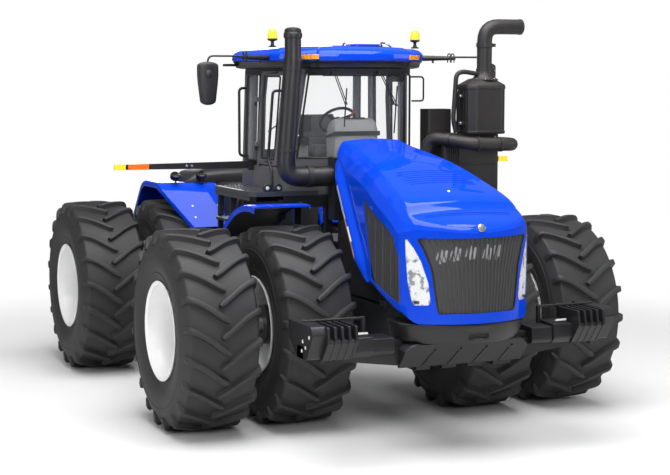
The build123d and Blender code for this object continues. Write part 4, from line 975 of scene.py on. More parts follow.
class TRACTOR_OT_tyres(bpy.types.Operator):
    """Make the twin tyres with their curved tread bars"""

    bl_idname = "tractor.tyres"
    bl_label = "Tyres"

    STATIONS = (0.0, 0.012, 0.03, 0.07, 0.12, 0.17, 0.22, 0.27, 0.32, 0.36, 0.4, 0.44, 0.49, 0.545)

    def execute(self, context):
        settings = context.scene.tractor_tyres
        tread = Tread(settings)
        for end in ("front", "rear"):
            for hand, _ in SIDES:
                shape = Shape(f"{end}_{hand}_treaded_tyres", f"{end}_{hand}_wheel_pair")
                low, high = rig.box(f"{end}_{hand}_tyres")
                width = 2 * tread.BULGE[0]
                for x in (low.x + width / 2, high.x - width / 2):
                    centre = Vector((x, (low.y + high.y) / 2, AXLE_HEIGHT))
                    self.carcass(shape, tread, centre)
                    for k in range(settings.lugs):
                        for flank in (-1, 1):
                            self.lug(shape, tread, settings, centre, flank,
                                     (k + 0.25 * flank) / settings.lugs)
                shape.done(sharp=40, replaces=[f"{end}_{hand}_tyres"])
        return {"FINISHED"}

    def around(self, centre, x, radius, angle):
        """A point at an angle round the axle; the angle grows upwards over the front of the tyre."""
        return centre + Vector((x, -radius * math.cos(angle), radius * math.sin(angle)))

    def carcass(self, shape, tread, centre):
        outside = [tread.below(tread.end_at * k / 30, tread.depth(tread.end_at * k / 30)) for k in range(31)]
        for radius in (0.6, 0.8):
            outside = [p for p in outside if abs(p[1] - radius) > 0.012]
            x = straight_between([(p[1], p[0]) for p in outside], radius)
            outside += [(x, radius + 0.008), (x + 0.004, radius + 0.004), (x + 0.004, radius - 0.004),
                        (x, radius - 0.008)]
        outside.sort(key=lambda p: -p[1] if p[0] > 0.2 else -2 + p[0])
        half = [(x, r) for x, r in outside if x > 0]
        inside = [(0.3, 0.5), (0.36, 0.7), (0.3, 0.9)]
        profile = [(-x, r) for x, r in half[::-1]] + half + inside + [(-x, r) for x, r in inside[::-1]]
        rings = [[self.around(centre, x, r, 2 * math.pi * k / 96) for x, r in profile] for k in range(96)]
        shape.loft(rings, "tyre_rubber", looped=True)

    def lug(self, shape, tread, settings, centre, flank, turn):
        """One bar: it starts across the middle, sweeps back to the shoulder and dies out on the sidewall."""
        start = -settings.nose_overlap
        rings = []
        for station in self.STATIONS:
            s = start + station
            run = tread.sweep(s, settings)
            ahead = Vector((0.01, tread.sweep(s + 0.01, settings) - run)).normalized()
            nose = min(1.0, 0.62 + station / 0.03 * 0.38)
            tail = 1.0 + 0.35 * max(0.0, s - 0.3) / 0.2
            half = settings.lug_width / 2 * nose * tail
            foot = half + 0.013
            height = tread.depth(s)
            ring = []
            for offset, rise in ((-foot, -0.006), (-foot + 0.003, 0.006), (-half, 0.92), (-half + 0.006, 1.0),
                                 (half - 0.006, 1.0), (half, 0.92), (foot - 0.003, 0.006), (foot, -0.006)):
                u = s - ahead.y * offset
                v = run + ahead.x * offset
                reach = height * (1 - rise) if rise > 0.5 else height - rise * 0.05
                x, r = tread.below(u, max(-0.0005, reach + 0.004 * (rise < 0)))
                ring.append(self.around(centre, flank * x, r, 2 * math.pi * turn + v / TYRE_RADIUS))
            rings.append(ring)
        shape.loft(rings, "tyre_rubber")


class TRACTOR_OT_rims(bpy.types.Operator):
    """Make the deep white rims with their discs, hubs and nuts"""

    bl_idname = "tractor.rims"
    bl_label = "Rims"

    FLANGE = 0.516
    SEAT = 0.483
    WELL = 0.455
    NUTS = 12

    def execute(self, context):
        for end in ("front", "rear"):
            for hand, side in SIDES:
                shape = Shape(f"{end}_{hand}_dished_rims", f"{end}_{hand}_wheel_pair")
                low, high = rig.box(f"{end}_{hand}_tyres")
                inner_x, outer_x = sorted((low.x + Tread.BULGE[0], high.x - Tread.BULGE[0]), key=abs)
                for x, outer in ((inner_x, False), (outer_x, True)):
                    centre = Vector((x, (low.y + high.y) / 2, AXLE_HEIGHT))
                    self.rim(shape, centre, Vector((side, 0, 0)), outer)
                shaft_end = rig.box(f"{end}_{hand}_wheels")[0 if side > 0 else 1].x
                y = (low.y + high.y) / 2
                shape.rod((shaft_end, y, AXLE_HEIGHT), (outer_x, y, AXLE_HEIGHT), 0.08, STEEL, 24)
                shape.done(sharp=38, replaces=[f"{end}_{hand}_wheels"])
        return {"FINISHED"}

    def rim(self, shape, centre, outwards, outer):
        seat, well, lip = self.SEAT, self.WELL, self.FLANGE
        shell = [(0.362, lip - 0.006), (0.368, lip), (0.374, lip), (0.378, lip - 0.007),
                 (0.372, seat + 0.006), (0.36, seat - 0.006), (0.27, seat - 0.012), (0.245, well),
                 (-0.245, well), (-0.27, seat - 0.012), (-0.36, seat - 0.006), (-0.372, seat + 0.006),
                 (-0.378, lip - 0.007), (-0.374, lip), (-0.368, lip), (-0.362, lip - 0.006)]
        back = [(-0.355, seat + 0.004), (-0.27, seat), (-0.24, well + 0.012), (0.24, well + 0.012),
                (0.27, seat), (0.355, seat + 0.004)]
        shape.turned(shell + back, centre, outwards, "white_paint", 72, closed=True)
        disc = [(-0.055, well + 0.002), (-0.03, well + 0.002), (-0.03, 0.41), (0.01, 0.33), (0.01, 0.0),
                (-0.02, 0.0), (-0.02, 0.32), (-0.055, 0.4)]
        shape.turned(disc, centre, outwards, "white_paint", 60, closed=True)
        reach = 0.05 if outer else 0.3
        shape.turned([(0.0, 0.21), (reach - 0.015, 0.205), (reach, 0.19), (reach, 0.0)], centre, outwards,
                     "white_paint" if outer else "cast_iron", 40)
        across = Vector((0, 1, 0))
        up = Vector((0, 0, 1))
        for k in range(self.NUTS):
            a = 2 * math.pi * k / self.NUTS
            place = centre + outwards * 0.01 + (across * math.cos(a) + up * math.sin(a)) * 0.255
            shape.bolt(place, outwards, 0.017)
        if outer:
            shape.turned([(reach, 0.1), (reach + 0.03, 0.095), (reach + 0.035, 0.08), (reach + 0.035, 0.0)],
                         centre, outwards, "cast_iron", 32)


# ---------------------------------------------------------------- hood and nose


class HoodForm:
    """The hood's outer skin: a U-shaped outline in plan, walls, a rounded shoulder and a crowned lid.

    Stops are (distance behind the front axle, value). The nose is an arc in plan.
    """

    HALF = ((0.18, 0.405), (-0.78, 0.55), (-1.42, 0.65), (-1.9, 0.695), (-2.0, 0.702))
    LID = ((0.18, 2.945), (-0.78, 2.768), (-1.42, 2.578), (-1.8, 2.45), (-2.05, 2.315), (-2.33, 2.212))
    EDGE = ((0.26, 2.64), (0.05, 2.54), (-0.9, 1.6), (-1.22, 1.58), (-2.0, 1.404), (-2.12, 1.302),
            (-2.4, 1.302))
    NOSE_HALF = 0.702
    CORNER = -2.0
    TIP = -2.33
    # Shares of the shoulder's inset and of its drop, from the wall up to the lid's edge.
    SHOULDER = ((0.0, 1.0), (0.015, 0.965), (0.05, 0.92), (0.3, 0.53), (0.345, 0.465), (0.4, 0.41),
                (0.66, 0.17), (0.85, 0.045), (1.0, 0.0))
    SIDE_SHOULDER = (0.14, 0.235)
    NOSE_SHOULDER = (0.045, 0.05)
    CROWN = 0.028

    def __init__(self):
        reach = self.CORNER - self.TIP
        self.radius = (self.NOSE_HALF**2 + reach**2) / (2 * reach)

    def nose(self, x):
        """How far behind the front axle the nose's face is, that far from the middle."""
        return self.TIP + self.radius - math.sqrt(self.radius**2 - x**2)

    def half(self, distance):
        return smooth_between(self.HALF, distance)

    def lid(self, x, distance):
        """Height of the lid."""
        inner = max(0.05, self.half(distance) - self.SIDE_SHOULDER[0])
        return smooth_between(self.LID, distance) + self.CROWN * max(0.0, 1 - (x / inner) ** 2)

    def plan(self):
        """Half of the outline in plan, from the cab to the tip of the nose, as (x, distance)."""
        start, end = 0.18, -1.88
        rows = 30
        points = [(self.half(start + (end - start) * k / rows), start + (end - start) * k / rows)
                  for k in range(rows + 1)]
        before, corner = Vector(points[-1]), Vector((self.NOSE_HALF, self.CORNER))
        first = self.NOSE_HALF - 0.1
        after = Vector((first, self.nose(first)))
        for k in range(1, 8):
            t = k / 8
            points.append(tuple(before * (1 - t) ** 2 + corner * 2 * t * (1 - t) + after * t * t))
        steps = 16
        return points + [(first * (1 - k / steps), self.nose(first * (1 - k / steps)))
                         for k in range(steps + 1)]

    def rows(self):
        """Rows of points, each from the lower edge up the wall and over the shoulder to the middle."""
        plan = self.plan()
        rows = []
        for k, (x, distance) in enumerate(plan):
            (x0, d0), (x1, d1) = plan[max(k - 1, 0)], plan[min(k + 1, len(plan) - 1)]
            out = Vector((d0 - d1, x1 - x0)).normalized() if k < len(plan) - 1 else Vector((0, -1))
            nose = min(1.0, max(0.0, -out.y * 1.25 - 0.15))
            inset, drop = (a + (b - a) * nose for a, b in zip(self.SIDE_SHOULDER, self.NOSE_SHOULDER))
            rear = 1 - 0.45 * min(1.0, max(0.0, (distance + 0.1) / 0.28))
            top = smooth_between(self.LID, distance)
            low = straight_between(self.EDGE, distance)
            row = [(x, distance, low + (top - drop * rear - low) * step / 12) for step in range(12)]
            for across, down in self.SHOULDER:
                reach = inset * across * rear
                row.append((max(0.0, x - out.x * reach), distance - out.y * reach, top - drop * down * rear))
            inner_x, inner_d, inner_z = row[-1]
            for step in range(1, 11):
                share = step / 10
                row.append((inner_x * (1 - share), inner_d, inner_z + self.CROWN * (1 - (1 - share) ** 2)
                            * min(1.0, inner_x / 0.45)))
            rows.append(row)
        return rows

    def side(self, distance, z, stand_off=0.0):
        """A point on the side panel, on the left-hand side."""
        return Vector((self.half(distance) + stand_off, aft(distance), z))

    def face(self, x, z, stand_off=0.0):
        """A point on the nose's face."""
        lean = x / self.radius
        return Vector((x + lean * stand_off, aft(self.nose(x)) - math.sqrt(1 - lean**2) * stand_off, z))


HOOD = HoodForm()
# Outlines: the grille and a headlight as (x, z), a side grille as (distance behind the front axle, z).
GRILLE = ((-0.588, 2.118), (0.588, 2.118), (0.54, 2.03), (0.47, 1.83), (0.435, 1.55), (0.41, 1.4),
          (-0.41, 1.4), (-0.435, 1.55), (-0.47, 1.83), (-0.54, 2.03))
HEADLIGHT = ((0.65, 2.108), (0.661, 2.095), (0.655, 1.9), (0.645, 1.7), (0.618, 1.515), (0.6, 1.478),
             (0.49, 1.484), (0.472, 1.52), (0.492, 1.7), (0.548, 1.895), (0.602, 2.02))
SIDE_GRILLE = ((-0.8, 2.415), (-1.62, 2.185), (-1.83, 2.1), (-1.93, 1.95), (-1.955, 1.48), (-1.15, 1.615))


class HoodSettings(bpy.types.PropertyGroup):
    """Hood and nose."""

    grille_ribs: bpy.props.IntProperty(
        name="Grille ribs", description="Upright ribs over the grille's mesh", default=22, min=3, max=40)
    louvres: bpy.props.IntProperty(
        name="Louvres", description="Shallow slots across the hood's lid", default=7, min=0, max=20)
    skin: bpy.props.FloatProperty(
        name="Skin", description="Thickness of the hood's shell", default=0.012, min=0.002, max=0.05,
        unit="LENGTH")


def applied(piece):
    """Replaces a piece's mesh with what its modifiers make of it."""
    bpy.context.view_layer.update()
    graph = bpy.context.evaluated_depsgraph_get()
    data = bpy.data.meshes.new_from_object(piece.evaluated_get(graph))
    piece.modifiers.clear()
    piece.data = data


def cut(piece, cutters):
    """Cuts solids out of a piece, applies all of its modifiers and marks its sharp edges."""
    for cutter in cutters:
        opening = piece.modifiers.new("Opening", "BOOLEAN")
        opening.operation = "DIFFERENCE"
        opening.solver = "EXACT"
        opening.object = cutter
    applied(piece)
    for cutter in cutters:
        bpy.data.objects.remove(cutter)
    piece.data.shade_smooth()
    piece.data.set_sharp_from_angle(angle=math.radians(30))


def cutter(outline, low, high, axis):
    """A solid to cut with; it never becomes a piece."""
    shape = Shape("cutter", None)
    shape.prism(outline, low, high, axis, BLUE)
    return linked("cutter", shape.data())


class TRACTOR_OT_hood(bpy.types.Operator):
    """Make the hood's shell with its openings, louvres, flared rear edge and stripes"""

    bl_idname = "tractor.hood"
    bl_label = "Hood"

    # The flared rear edge, as (height, distance behind the front axle), and its section from the edge
    # forwards, as (distance from the edge, how far it stands out).
    FLARE = ((1.572, -0.985), (1.62, -0.9), (1.9, -0.61), (2.2, -0.3), (2.46, -0.05), (2.6, 0.1), (2.68, 0.2))
    SECTION = ((-0.004, -0.02), (-0.004, 0.058), (0.004, 0.07), (0.018, 0.073), (0.066, 0.054),
               (0.074, 0.048), (0.122, 0.004), (0.135, -0.004), (0.135, -0.02))
    STRIPES = (
        ("white_stripe", 2.47, 2.14, 0.0, 0.03),
        ("yellow_stripe", 2.2, 1.78, 0.0, 0.021),
        ("white_stripe", 2.06, 1.92, 0.024, 0.042),
    )

    def execute(self, context):
        settings = context.scene.tractor_hood
        shell = self.shell(settings)
        openings = [cutter(rounded(list(GRILLE), 0.04), aft(-2.5), aft(-1.9), "y")]
        for side in (-1, 1):
            lamp = rounded([(side * x, z) for x, z in HEADLIGHT], 0.008)
            openings.append(cutter(lamp, aft(-2.5), aft(-1.985), "y"))
            grille = rounded([(aft(d), z) for d, z in SIDE_GRILLE], 0.03)
            openings.append(cutter(grille, min(side * 0.3, side * 0.9), max(side * 0.3, side * 0.9), "x"))
        for k in range(settings.louvres):
            distance = -1.18 - 0.3 * k / max(1, settings.louvres - 1)
            height = HOOD.lid(0.0, distance)
            y = aft(distance)
            slot = [(y - 0.006, height - 0.007), (y + 0.006, height - 0.007), (y + 0.01, height + 0.08),
                    (y - 0.01, height + 0.08)]
            openings.append(cutter(slot, -0.36, 0.36, "x"))
        cut(shell, openings)
        level = shell.modifiers.new("Normals", "WEIGHTED_NORMAL")
        level.keep_sharp = True
        self.trim()
        self.blades()
        return {"FINISHED"}

    def shell(self, settings):
        shape = Shape("hood_shell", "hood")
        rows = HOOD.rows()
        across = len(rows[0])
        points = []
        for row in rows:
            points += [(x, aft(d), z) for x, d, z in row] + [(-x, aft(d), z) for x, d, z in row[-2::-1]]
        width = 2 * across - 1
        faces = [(r * width + k, r * width + k + 1, (r + 1) * width + k + 1, (r + 1) * width + k)
                 for r in range(len(rows) - 1) for k in range(width - 1)]
        shape.faces(points, faces, BLUE)
        bmesh.ops.remove_doubles(shape.mesh, verts=shape.mesh.verts, dist=0.0004)
        return shape.done(replaces=["hood"], thickness=settings.skin)

    def trim(self):
        """The seam across the nose, the latch button, the bare badge plate and the hinge lugs."""
        shape = Shape("hood_trim", "hood")
        for k in range(24):
            x0, x1 = (-0.46 + 0.92 * (k + s) / 24 for s in (0, 1))
            d = -2.045
            shape.loft([[(x, aft(d) + dy, HOOD.lid(x, d) + dz)
                         for dy, dz in ((-0.003, -0.012), (0.003, -0.012), (0.003, -0.0085),
                                        (-0.003, -0.0075))] for x in (x0, x1)], BLACK)
        latch = HOOD.lid(-0.03, -1.7)
        shape.turned([(-0.01, 0.02), (0.006, 0.02), (0.012, 0.014), (0.014, 0.0)], (-0.03, aft(-1.7), latch),
                     (0, -0.35, 1), STEEL, 24)
        middle = 2.212
        plate = [(0.042 * math.cos(a), 0.036 * math.sin(a)) for a in (math.tau * k / 24 for k in range(24))]
        rings = [[HOOD.face(x * grow, middle + up * grow, stand - (middle + up - 2.17) * 0.35)
                  for x, up in plate] for grow, stand in ((1.0, -0.02), (1.0, 0.008), (0.84, 0.014))]
        shape.loft(rings, STEEL)
        shape.done(sharp=40, slot=STEEL)

    def blades(self):
        """The flared rear edges of the side panels, with a yellow and pale stripes."""
        low, high = self.FLARE[0][0], self.FLARE[-1][0]
        for hand, side in SIDES:
            shape = Shape(f"hood_{hand}_flare", "hood")
            self.strip(shape, high, low, self.SECTION, side, BLUE)
            for name, top, bottom, start, end in self.STRIPES:
                raised = [(across, straight_between(self.SECTION[2:6], across) + lift) for across, lift in (
                    (start, -0.001), (start, 0.0016), (end, 0.0016), (end, -0.001))]
                self.strip(shape, top, bottom, raised, side, name)
            shape.done(sharp=40)

    def strip(self, shape, high, low, section, side, name):
        """A strip along the flared edge between two heights."""
        foot, head = self.FLARE[0][0], self.FLARE[-1][0]
        steps = 28
        rings = []
        for k in range(steps + 1):
            z = high + (low - high) * k / steps
            distance = smooth_between(self.FLARE, z)
            ahead = smooth_between(self.FLARE, z - 0.02)
            run = Vector((ahead - distance, -0.02)).normalized()
            forwards = Vector((run.y, -run.x))
            taper = min(1.0, 0.3 + (head - z) * 5.0, 0.1 + (z - foot) * 4.5)
            ring = []
            for across, out in section:
                width = across * min(1.0, 0.35 + (z - foot) * 5.0)
                point = HOOD.side(distance + forwards.x * width, z + forwards.y * width,
                                  out * taper if out > 0 else out)
                ring.append((side * point.x, point.y, point.z))
            rings.append(ring)
        shape.loft(rings, name)


class TRACTOR_OT_grille(bpy.types.Operator):
    """Make the front grille with its mesh and upright ribs"""

    bl_idname = "tractor.grille"
    bl_label = "Front grille"

    DEPTH = -0.02
    MESH = 0.008
    STRIPS = 24

    def edge(self, z):
        """Half the grille's width at a height."""
        return straight_between([(1.4, 0.41), (1.55, 0.435), (1.83, 0.47), (2.03, 0.54), (2.118, 0.588)], z)

    def execute(self, context):
        ribs = context.scene.tractor_hood.grille_ribs
        shape = Shape("grille_panel", "hood")
        levels = [1.39 + 0.735 * k / 12 for k in range(13)]
        for k in range(self.STRIPS):
            a, b = (-1 + 2 * (k + s) / self.STRIPS for s in (0, 1))
            rings = [[HOOD.face((self.edge(z) + 0.012) * share, z, self.DEPTH - out)
                      for share, out in ((a, 0), (b, 0), (b, self.MESH), (a, self.MESH))] for z in levels]
            shape.loft(rings, "grille_mesh")
        for k in range(ribs + 1):
            share = -1 + 2 * (k + 0.5) / (ribs + 1)
            rings = [[HOOD.face(self.edge(z) * share + dx, z, self.DEPTH + out)
                      for dx, out in ((-0.006, -0.004), (-0.003, 0.01), (0.003, 0.01), (0.006, -0.004))]
                     for z in levels]
            shape.loft(rings, "grille_rib")
        shape.done(sharp=30, replaces=["front_grille"])
        self.lamps()
        self.frame()
        return {"FINISHED"}

    def lamps(self):
        """Two uneven rows of pale lamps seen through the mesh, between the ribs."""
        shape = Shape("grille_lamps", "hood")
        places = [(-0.42, 1.95), (-0.385, 1.945), (-0.35, 1.95), (-0.3, 1.96), (-0.26, 1.97), (-0.225, 1.965),
                  (-0.15, 1.985), (-0.11, 1.98), (-0.07, 1.975), (0.03, 1.965), (0.065, 1.985), (0.1, 1.96),
                  (0.15, 1.995), (0.185, 1.97), (0.22, 1.985)]
        for k, (x, z) in enumerate(places):
            half = 0.008 + 0.004 * (k % 3)
            tall = 0.045 + 0.012 * ((k * 2) % 3)
            rings = [[HOOD.face(x + 0.012 * (up / tall) + dx * grow, z + up, self.DEPTH + out)
                      for dx, out in ((-half, -0.002), (-half, 0.003), (half, 0.003), (half, -0.002))]
                     for up, grow in ((-tall, 0.5), (-tall + 0.008, 1.0), (tall - 0.008, 0.8), (tall, 0.5))]
            shape.loft(rings, LINING)
        shape.done()

    def frame(self):
        """The dark lip round the grille's opening."""
        shape = Shape("grille_lip", "hood")
        outline = rounded(list(GRILLE), 0.04, 5)
        middle = Vector((0, 1.78))
        rings = [[HOOD.face(middle.x + (x - middle.x) * grow, middle.y + (z - middle.y) * grow, out)
                  for x, z in outline] for grow, out in ((1.008, -0.022), (1.008, 0.002), (0.988, 0.002),
                                                         (0.982, -0.022))]
        shape.loft(rings, BLACK, looped=True)
        shape.done(sharp=30)


class TRACTOR_OT_headlights(bpy.types.Operator):
    """Make the tall headlights: plated bowls and bulbs behind clear lenses"""

    bl_idname = "tractor.headlights"
    bl_label = "Headlights"

    def execute(self, context):
        outline = rounded(list(HEADLIGHT), 0.008)
        middle = Vector((sum(x for x, z in outline) / len(outline),
                         sum(z for x, z in outline) / len(outline)))

        def at(side, x, z, grow, out):
            point = self.surface(middle.x + (x - middle.x) * grow, middle.y + (z - middle.y) * grow, out)
            return (side * point.x, point.y, point.z)

        for hand, side in SIDES:
            bowl = Shape(f"{hand}_headlight_bowl", "hood")
            rings = [[at(side, x, z, grow, out) for x, z in outline]
                     for grow, out in ((1.0, -0.004), (0.97, -0.012), (0.9, -0.035), (0.55, -0.05))]
            bowl.loft(rings, "lamp_reflector")
            for z, radius in ((1.9, 0.03), (1.74, 0.042), (1.57, 0.05)):
                x = 0.655 - radius - 0.02
                place = Vector(at(side, x, z, 1.0, -0.036))
                ahead = Vector((side * 0.55, -0.84, 0.0)).normalized()
                bowl.turned([(0.0, radius), (0.018, radius), (0.022, radius * 0.85), (0.004, radius * 0.45),
                             (0.004, 0.0)], place, ahead, "lamp_reflector", 28)
                bowl.turned([(0.004, radius * 0.3), (0.02, radius * 0.26), (0.026, 0.0)], place, ahead,
                            BLACK, 20)
            for z in (1.655, 1.83):
                bowl.rod(at(side, 0.555, z - 0.012, 0.86, -0.03), at(side, 0.655, z + 0.02, 0.86, -0.03),
                         0.007, BLACK, 8)
            bowl.prism([(side * 0.5, 1.497), (side * 0.6, 1.497), (side * 0.6, 1.522), (side * 0.515, 1.522)],
                       aft(-2.125), aft(-2.08), "y", BLACK)
            bowl.done(sharp=35)
            lens = Shape(f"{hand}_headlight_lens", "hood")
            rings = [[at(side, x, z, grow, out) for x, z in outline]
                     for grow, out in ((1.0, -0.008), (1.0, 0.002), (0.98, 0.006), (0.5, 0.01))]
            lens.loft(rings, "lamp_glass")
            lens.done(sharp=50, replaces=["headlights"])
        return {"FINISHED"}

    def surface(self, x, z, out):
        """The hood's skin round the nose's corner, on the left-hand side."""
        plan = HOOD.plan()
        near = min(range(1, len(plan) - 1), key=lambda k: abs(plan[k][0] - x) + 3 * max(0, plan[k][1] + 1.9))
        (x0, d0), (x1, d1) = plan[near - 1], plan[near + 1]
        t = (x - x0) / (x1 - x0) if abs(x1 - x0) > 1e-6 else 0.5
        normal = Vector((d0 - d1, x1 - x0)).normalized()
        return Vector((x + normal.x * out, aft(d0 + (d1 - d0) * t) + normal.y * out, z))


class TRACTOR_OT_side_grilles(bpy.types.Operator):
    """Make the folded mesh panels in the hood's sides"""

    bl_idname = "tractor.side_grilles"
    bl_label = "Side grilles"

    FOLDS = 5

    def execute(self, context):
        for hand, side in SIDES:
            shape = Shape(f"{hand}_side_grille", "hood")
            front, rear = -1.975, -0.79
            for k in range(self.FOLDS):
                d0, d1 = (rear + (front - rear) * (k + s) / self.FOLDS for s in (0, 1))
                stops = []
                for share, depth in ((0.0, -0.024), (0.06, -0.01), (0.94, -0.01), (1.0, -0.024)):
                    d = d0 + (d1 - d0) * share
                    low = straight_between([(-1.975, 1.475), (-1.955, 1.48), (-1.15, 1.615), (-0.8, 2.38)],
                                           d) - 0.012
                    high = straight_between([(-1.975, 1.93), (-1.93, 1.96), (-1.83, 2.105), (-1.62, 2.19),
                                             (-0.8, 2.42)], d) + 0.01
                    stops.append((d, low, high, depth))
                rings = [[(side * (HOOD.half(d) + off), aft(d), z)
                          for z, off in oblong(low, depth, high, depth - 0.008)]
                         for d, low, high, depth in stops]
                shape.loft(rings, "grille_mesh")
            shape.done(sharp=25, replaces=["side_grilles"])
        return {"FINISHED"}


class TRACTOR_OT_nose_cowl(bpy.types.Operator):
    """Make the black cowl under the hood's nose"""

    bl_idname = "tractor.nose_cowl"
    bl_label = "Nose cowl"

    def execute(self, context):
        low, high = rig.box("nose_cowl")
        shape = Shape("nose_cowl_skin")
        plan = HOOD.plan()
        half = [(x, d) for x, d in plan if d <= -1.55]
        levels = ((low.z, 0.07), (low.z + 0.03, 0.052), (high.z - 0.02, 0.02), (high.z + 0.002, 0.022))
        rings = []
        for z, inset in levels:
            left = []
            for x, d in half:
                scale = 1 - inset / 0.7
                left.append((x * scale, aft(d + inset * min(1.0, max(0.0, (-1.6 - d) / 0.4))), z))
            rings.append(left + [(-x, y, z) for x, y, z in left[-2::-1]])
        shape.loft(rings, BLACK)
        piece = shape.done(sharp=30, bevel=0.006, replaces=["nose_cowl"])
        slot = rounded([(-0.115, 1.155), (0.115, 1.155), (0.1, 1.195), (-0.1, 1.195)], 0.02)
        cut(piece, [cutter(slot, aft(-2.4), aft(-2.265), "y")])
        return {"FINISHED"}


# ---------------------------------------------------------------- cab and roof


class CabForm:
    """The cab's leaning outline.

    Each corner is given at the floor and at the top, as (x, distance behind the front axle).
    """

    CORNERS = (((0.772, 0.86), (0.655, 0.625)), ((0.85, 1.01), (0.8, 0.88)),
               ((0.85, 1.95), (0.82, 1.9)), ((0.72, 2.16), (0.7, 2.09)))
    FRONT = (0.56, 0.33)

    def __init__(self):
        low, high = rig.box("cab_body")
        self.low, self.high = low.z, high.z

    def share(self, z):
        return (z - self.low) / (self.high - self.low)

    def corner(self, k, z, inset=0.0):
        """A corner on the left-hand side, as (x, distance)."""
        a, b = self.CORNERS[k]
        t = self.share(z)
        middle = 1.3
        x, d = a[0] + (b[0] - a[0]) * t, a[1] + (b[1] - a[1]) * t
        return x - inset, d + inset * (1 if d < middle else -1) * (0.0 if k in (1, 2) and inset else 1.0)

    def front(self, x, z, inset=0.0):
        """How far behind the front axle the curved front is, that far from the middle."""
        edge_x, edge_d = self.corner(0, z)
        tip = self.FRONT[0] + (self.FRONT[1] - self.FRONT[0]) * self.share(z)
        reach = edge_d - tip
        radius = (edge_x**2 + reach**2) / (2 * reach)
        return tip + radius - math.sqrt(radius**2 - min(abs(x), edge_x) ** 2) + inset

    def ring(self, z, inset=0.0):
        """The whole outline at a height, in metres in the CAD frame."""
        edge = self.corner(0, z, inset * 0.7)[0]
        front = [(edge * k / 10, self.front(edge * k / 10, z, inset)) for k in range(-10, 11)]
        side = [self.corner(k, z, inset) for k in (1, 2, 3)]
        return [(x, aft(d), z) for x, d in front + side + [(-x, d) for x, d in reversed(side)]]


CAB = CabForm()
SILL = 2.64


class CabSettings(bpy.types.PropertyGroup):
    """Cab."""

    post_width: bpy.props.FloatProperty(
        name="Post width", description="Width of the cab's corner posts", default=0.085, min=0.03, max=0.2,
        unit="LENGTH")
    roof_crown: bpy.props.FloatProperty(
        name="Roof crown", description="How much higher the roof's middle is than its shoulder", default=0.03,
        min=0.0, max=0.1, unit="LENGTH")


def wall(shape, low, high, inset, finish_name):
    """A band of wall all round the cab, from one height to another."""
    rings = [CAB.ring(low, inset), CAB.ring(low, 0.0), CAB.ring(high, 0.0), CAB.ring(high, inset)]
    shape.loft(rings, finish_name, looped=True)


def post(shape, foot, head, wide, deep, turn, finish_name):
    """A cab post with rounded edges between two places; turn is the direction of its width, in degrees."""
    u = Vector((math.cos(math.radians(turn)), math.sin(math.radians(turn)), 0))
    v = Vector((-u.y, u.x, 0))
    section = rounded(oblong(-wide / 2, -deep / 2, wide / 2, deep / 2),
                      min(wide, deep) * 0.3, 3)
    rings = [[Vector(place) + u * a + v * b for a, b in section] for place in (foot, head)]
    shape.loft(rings, finish_name)


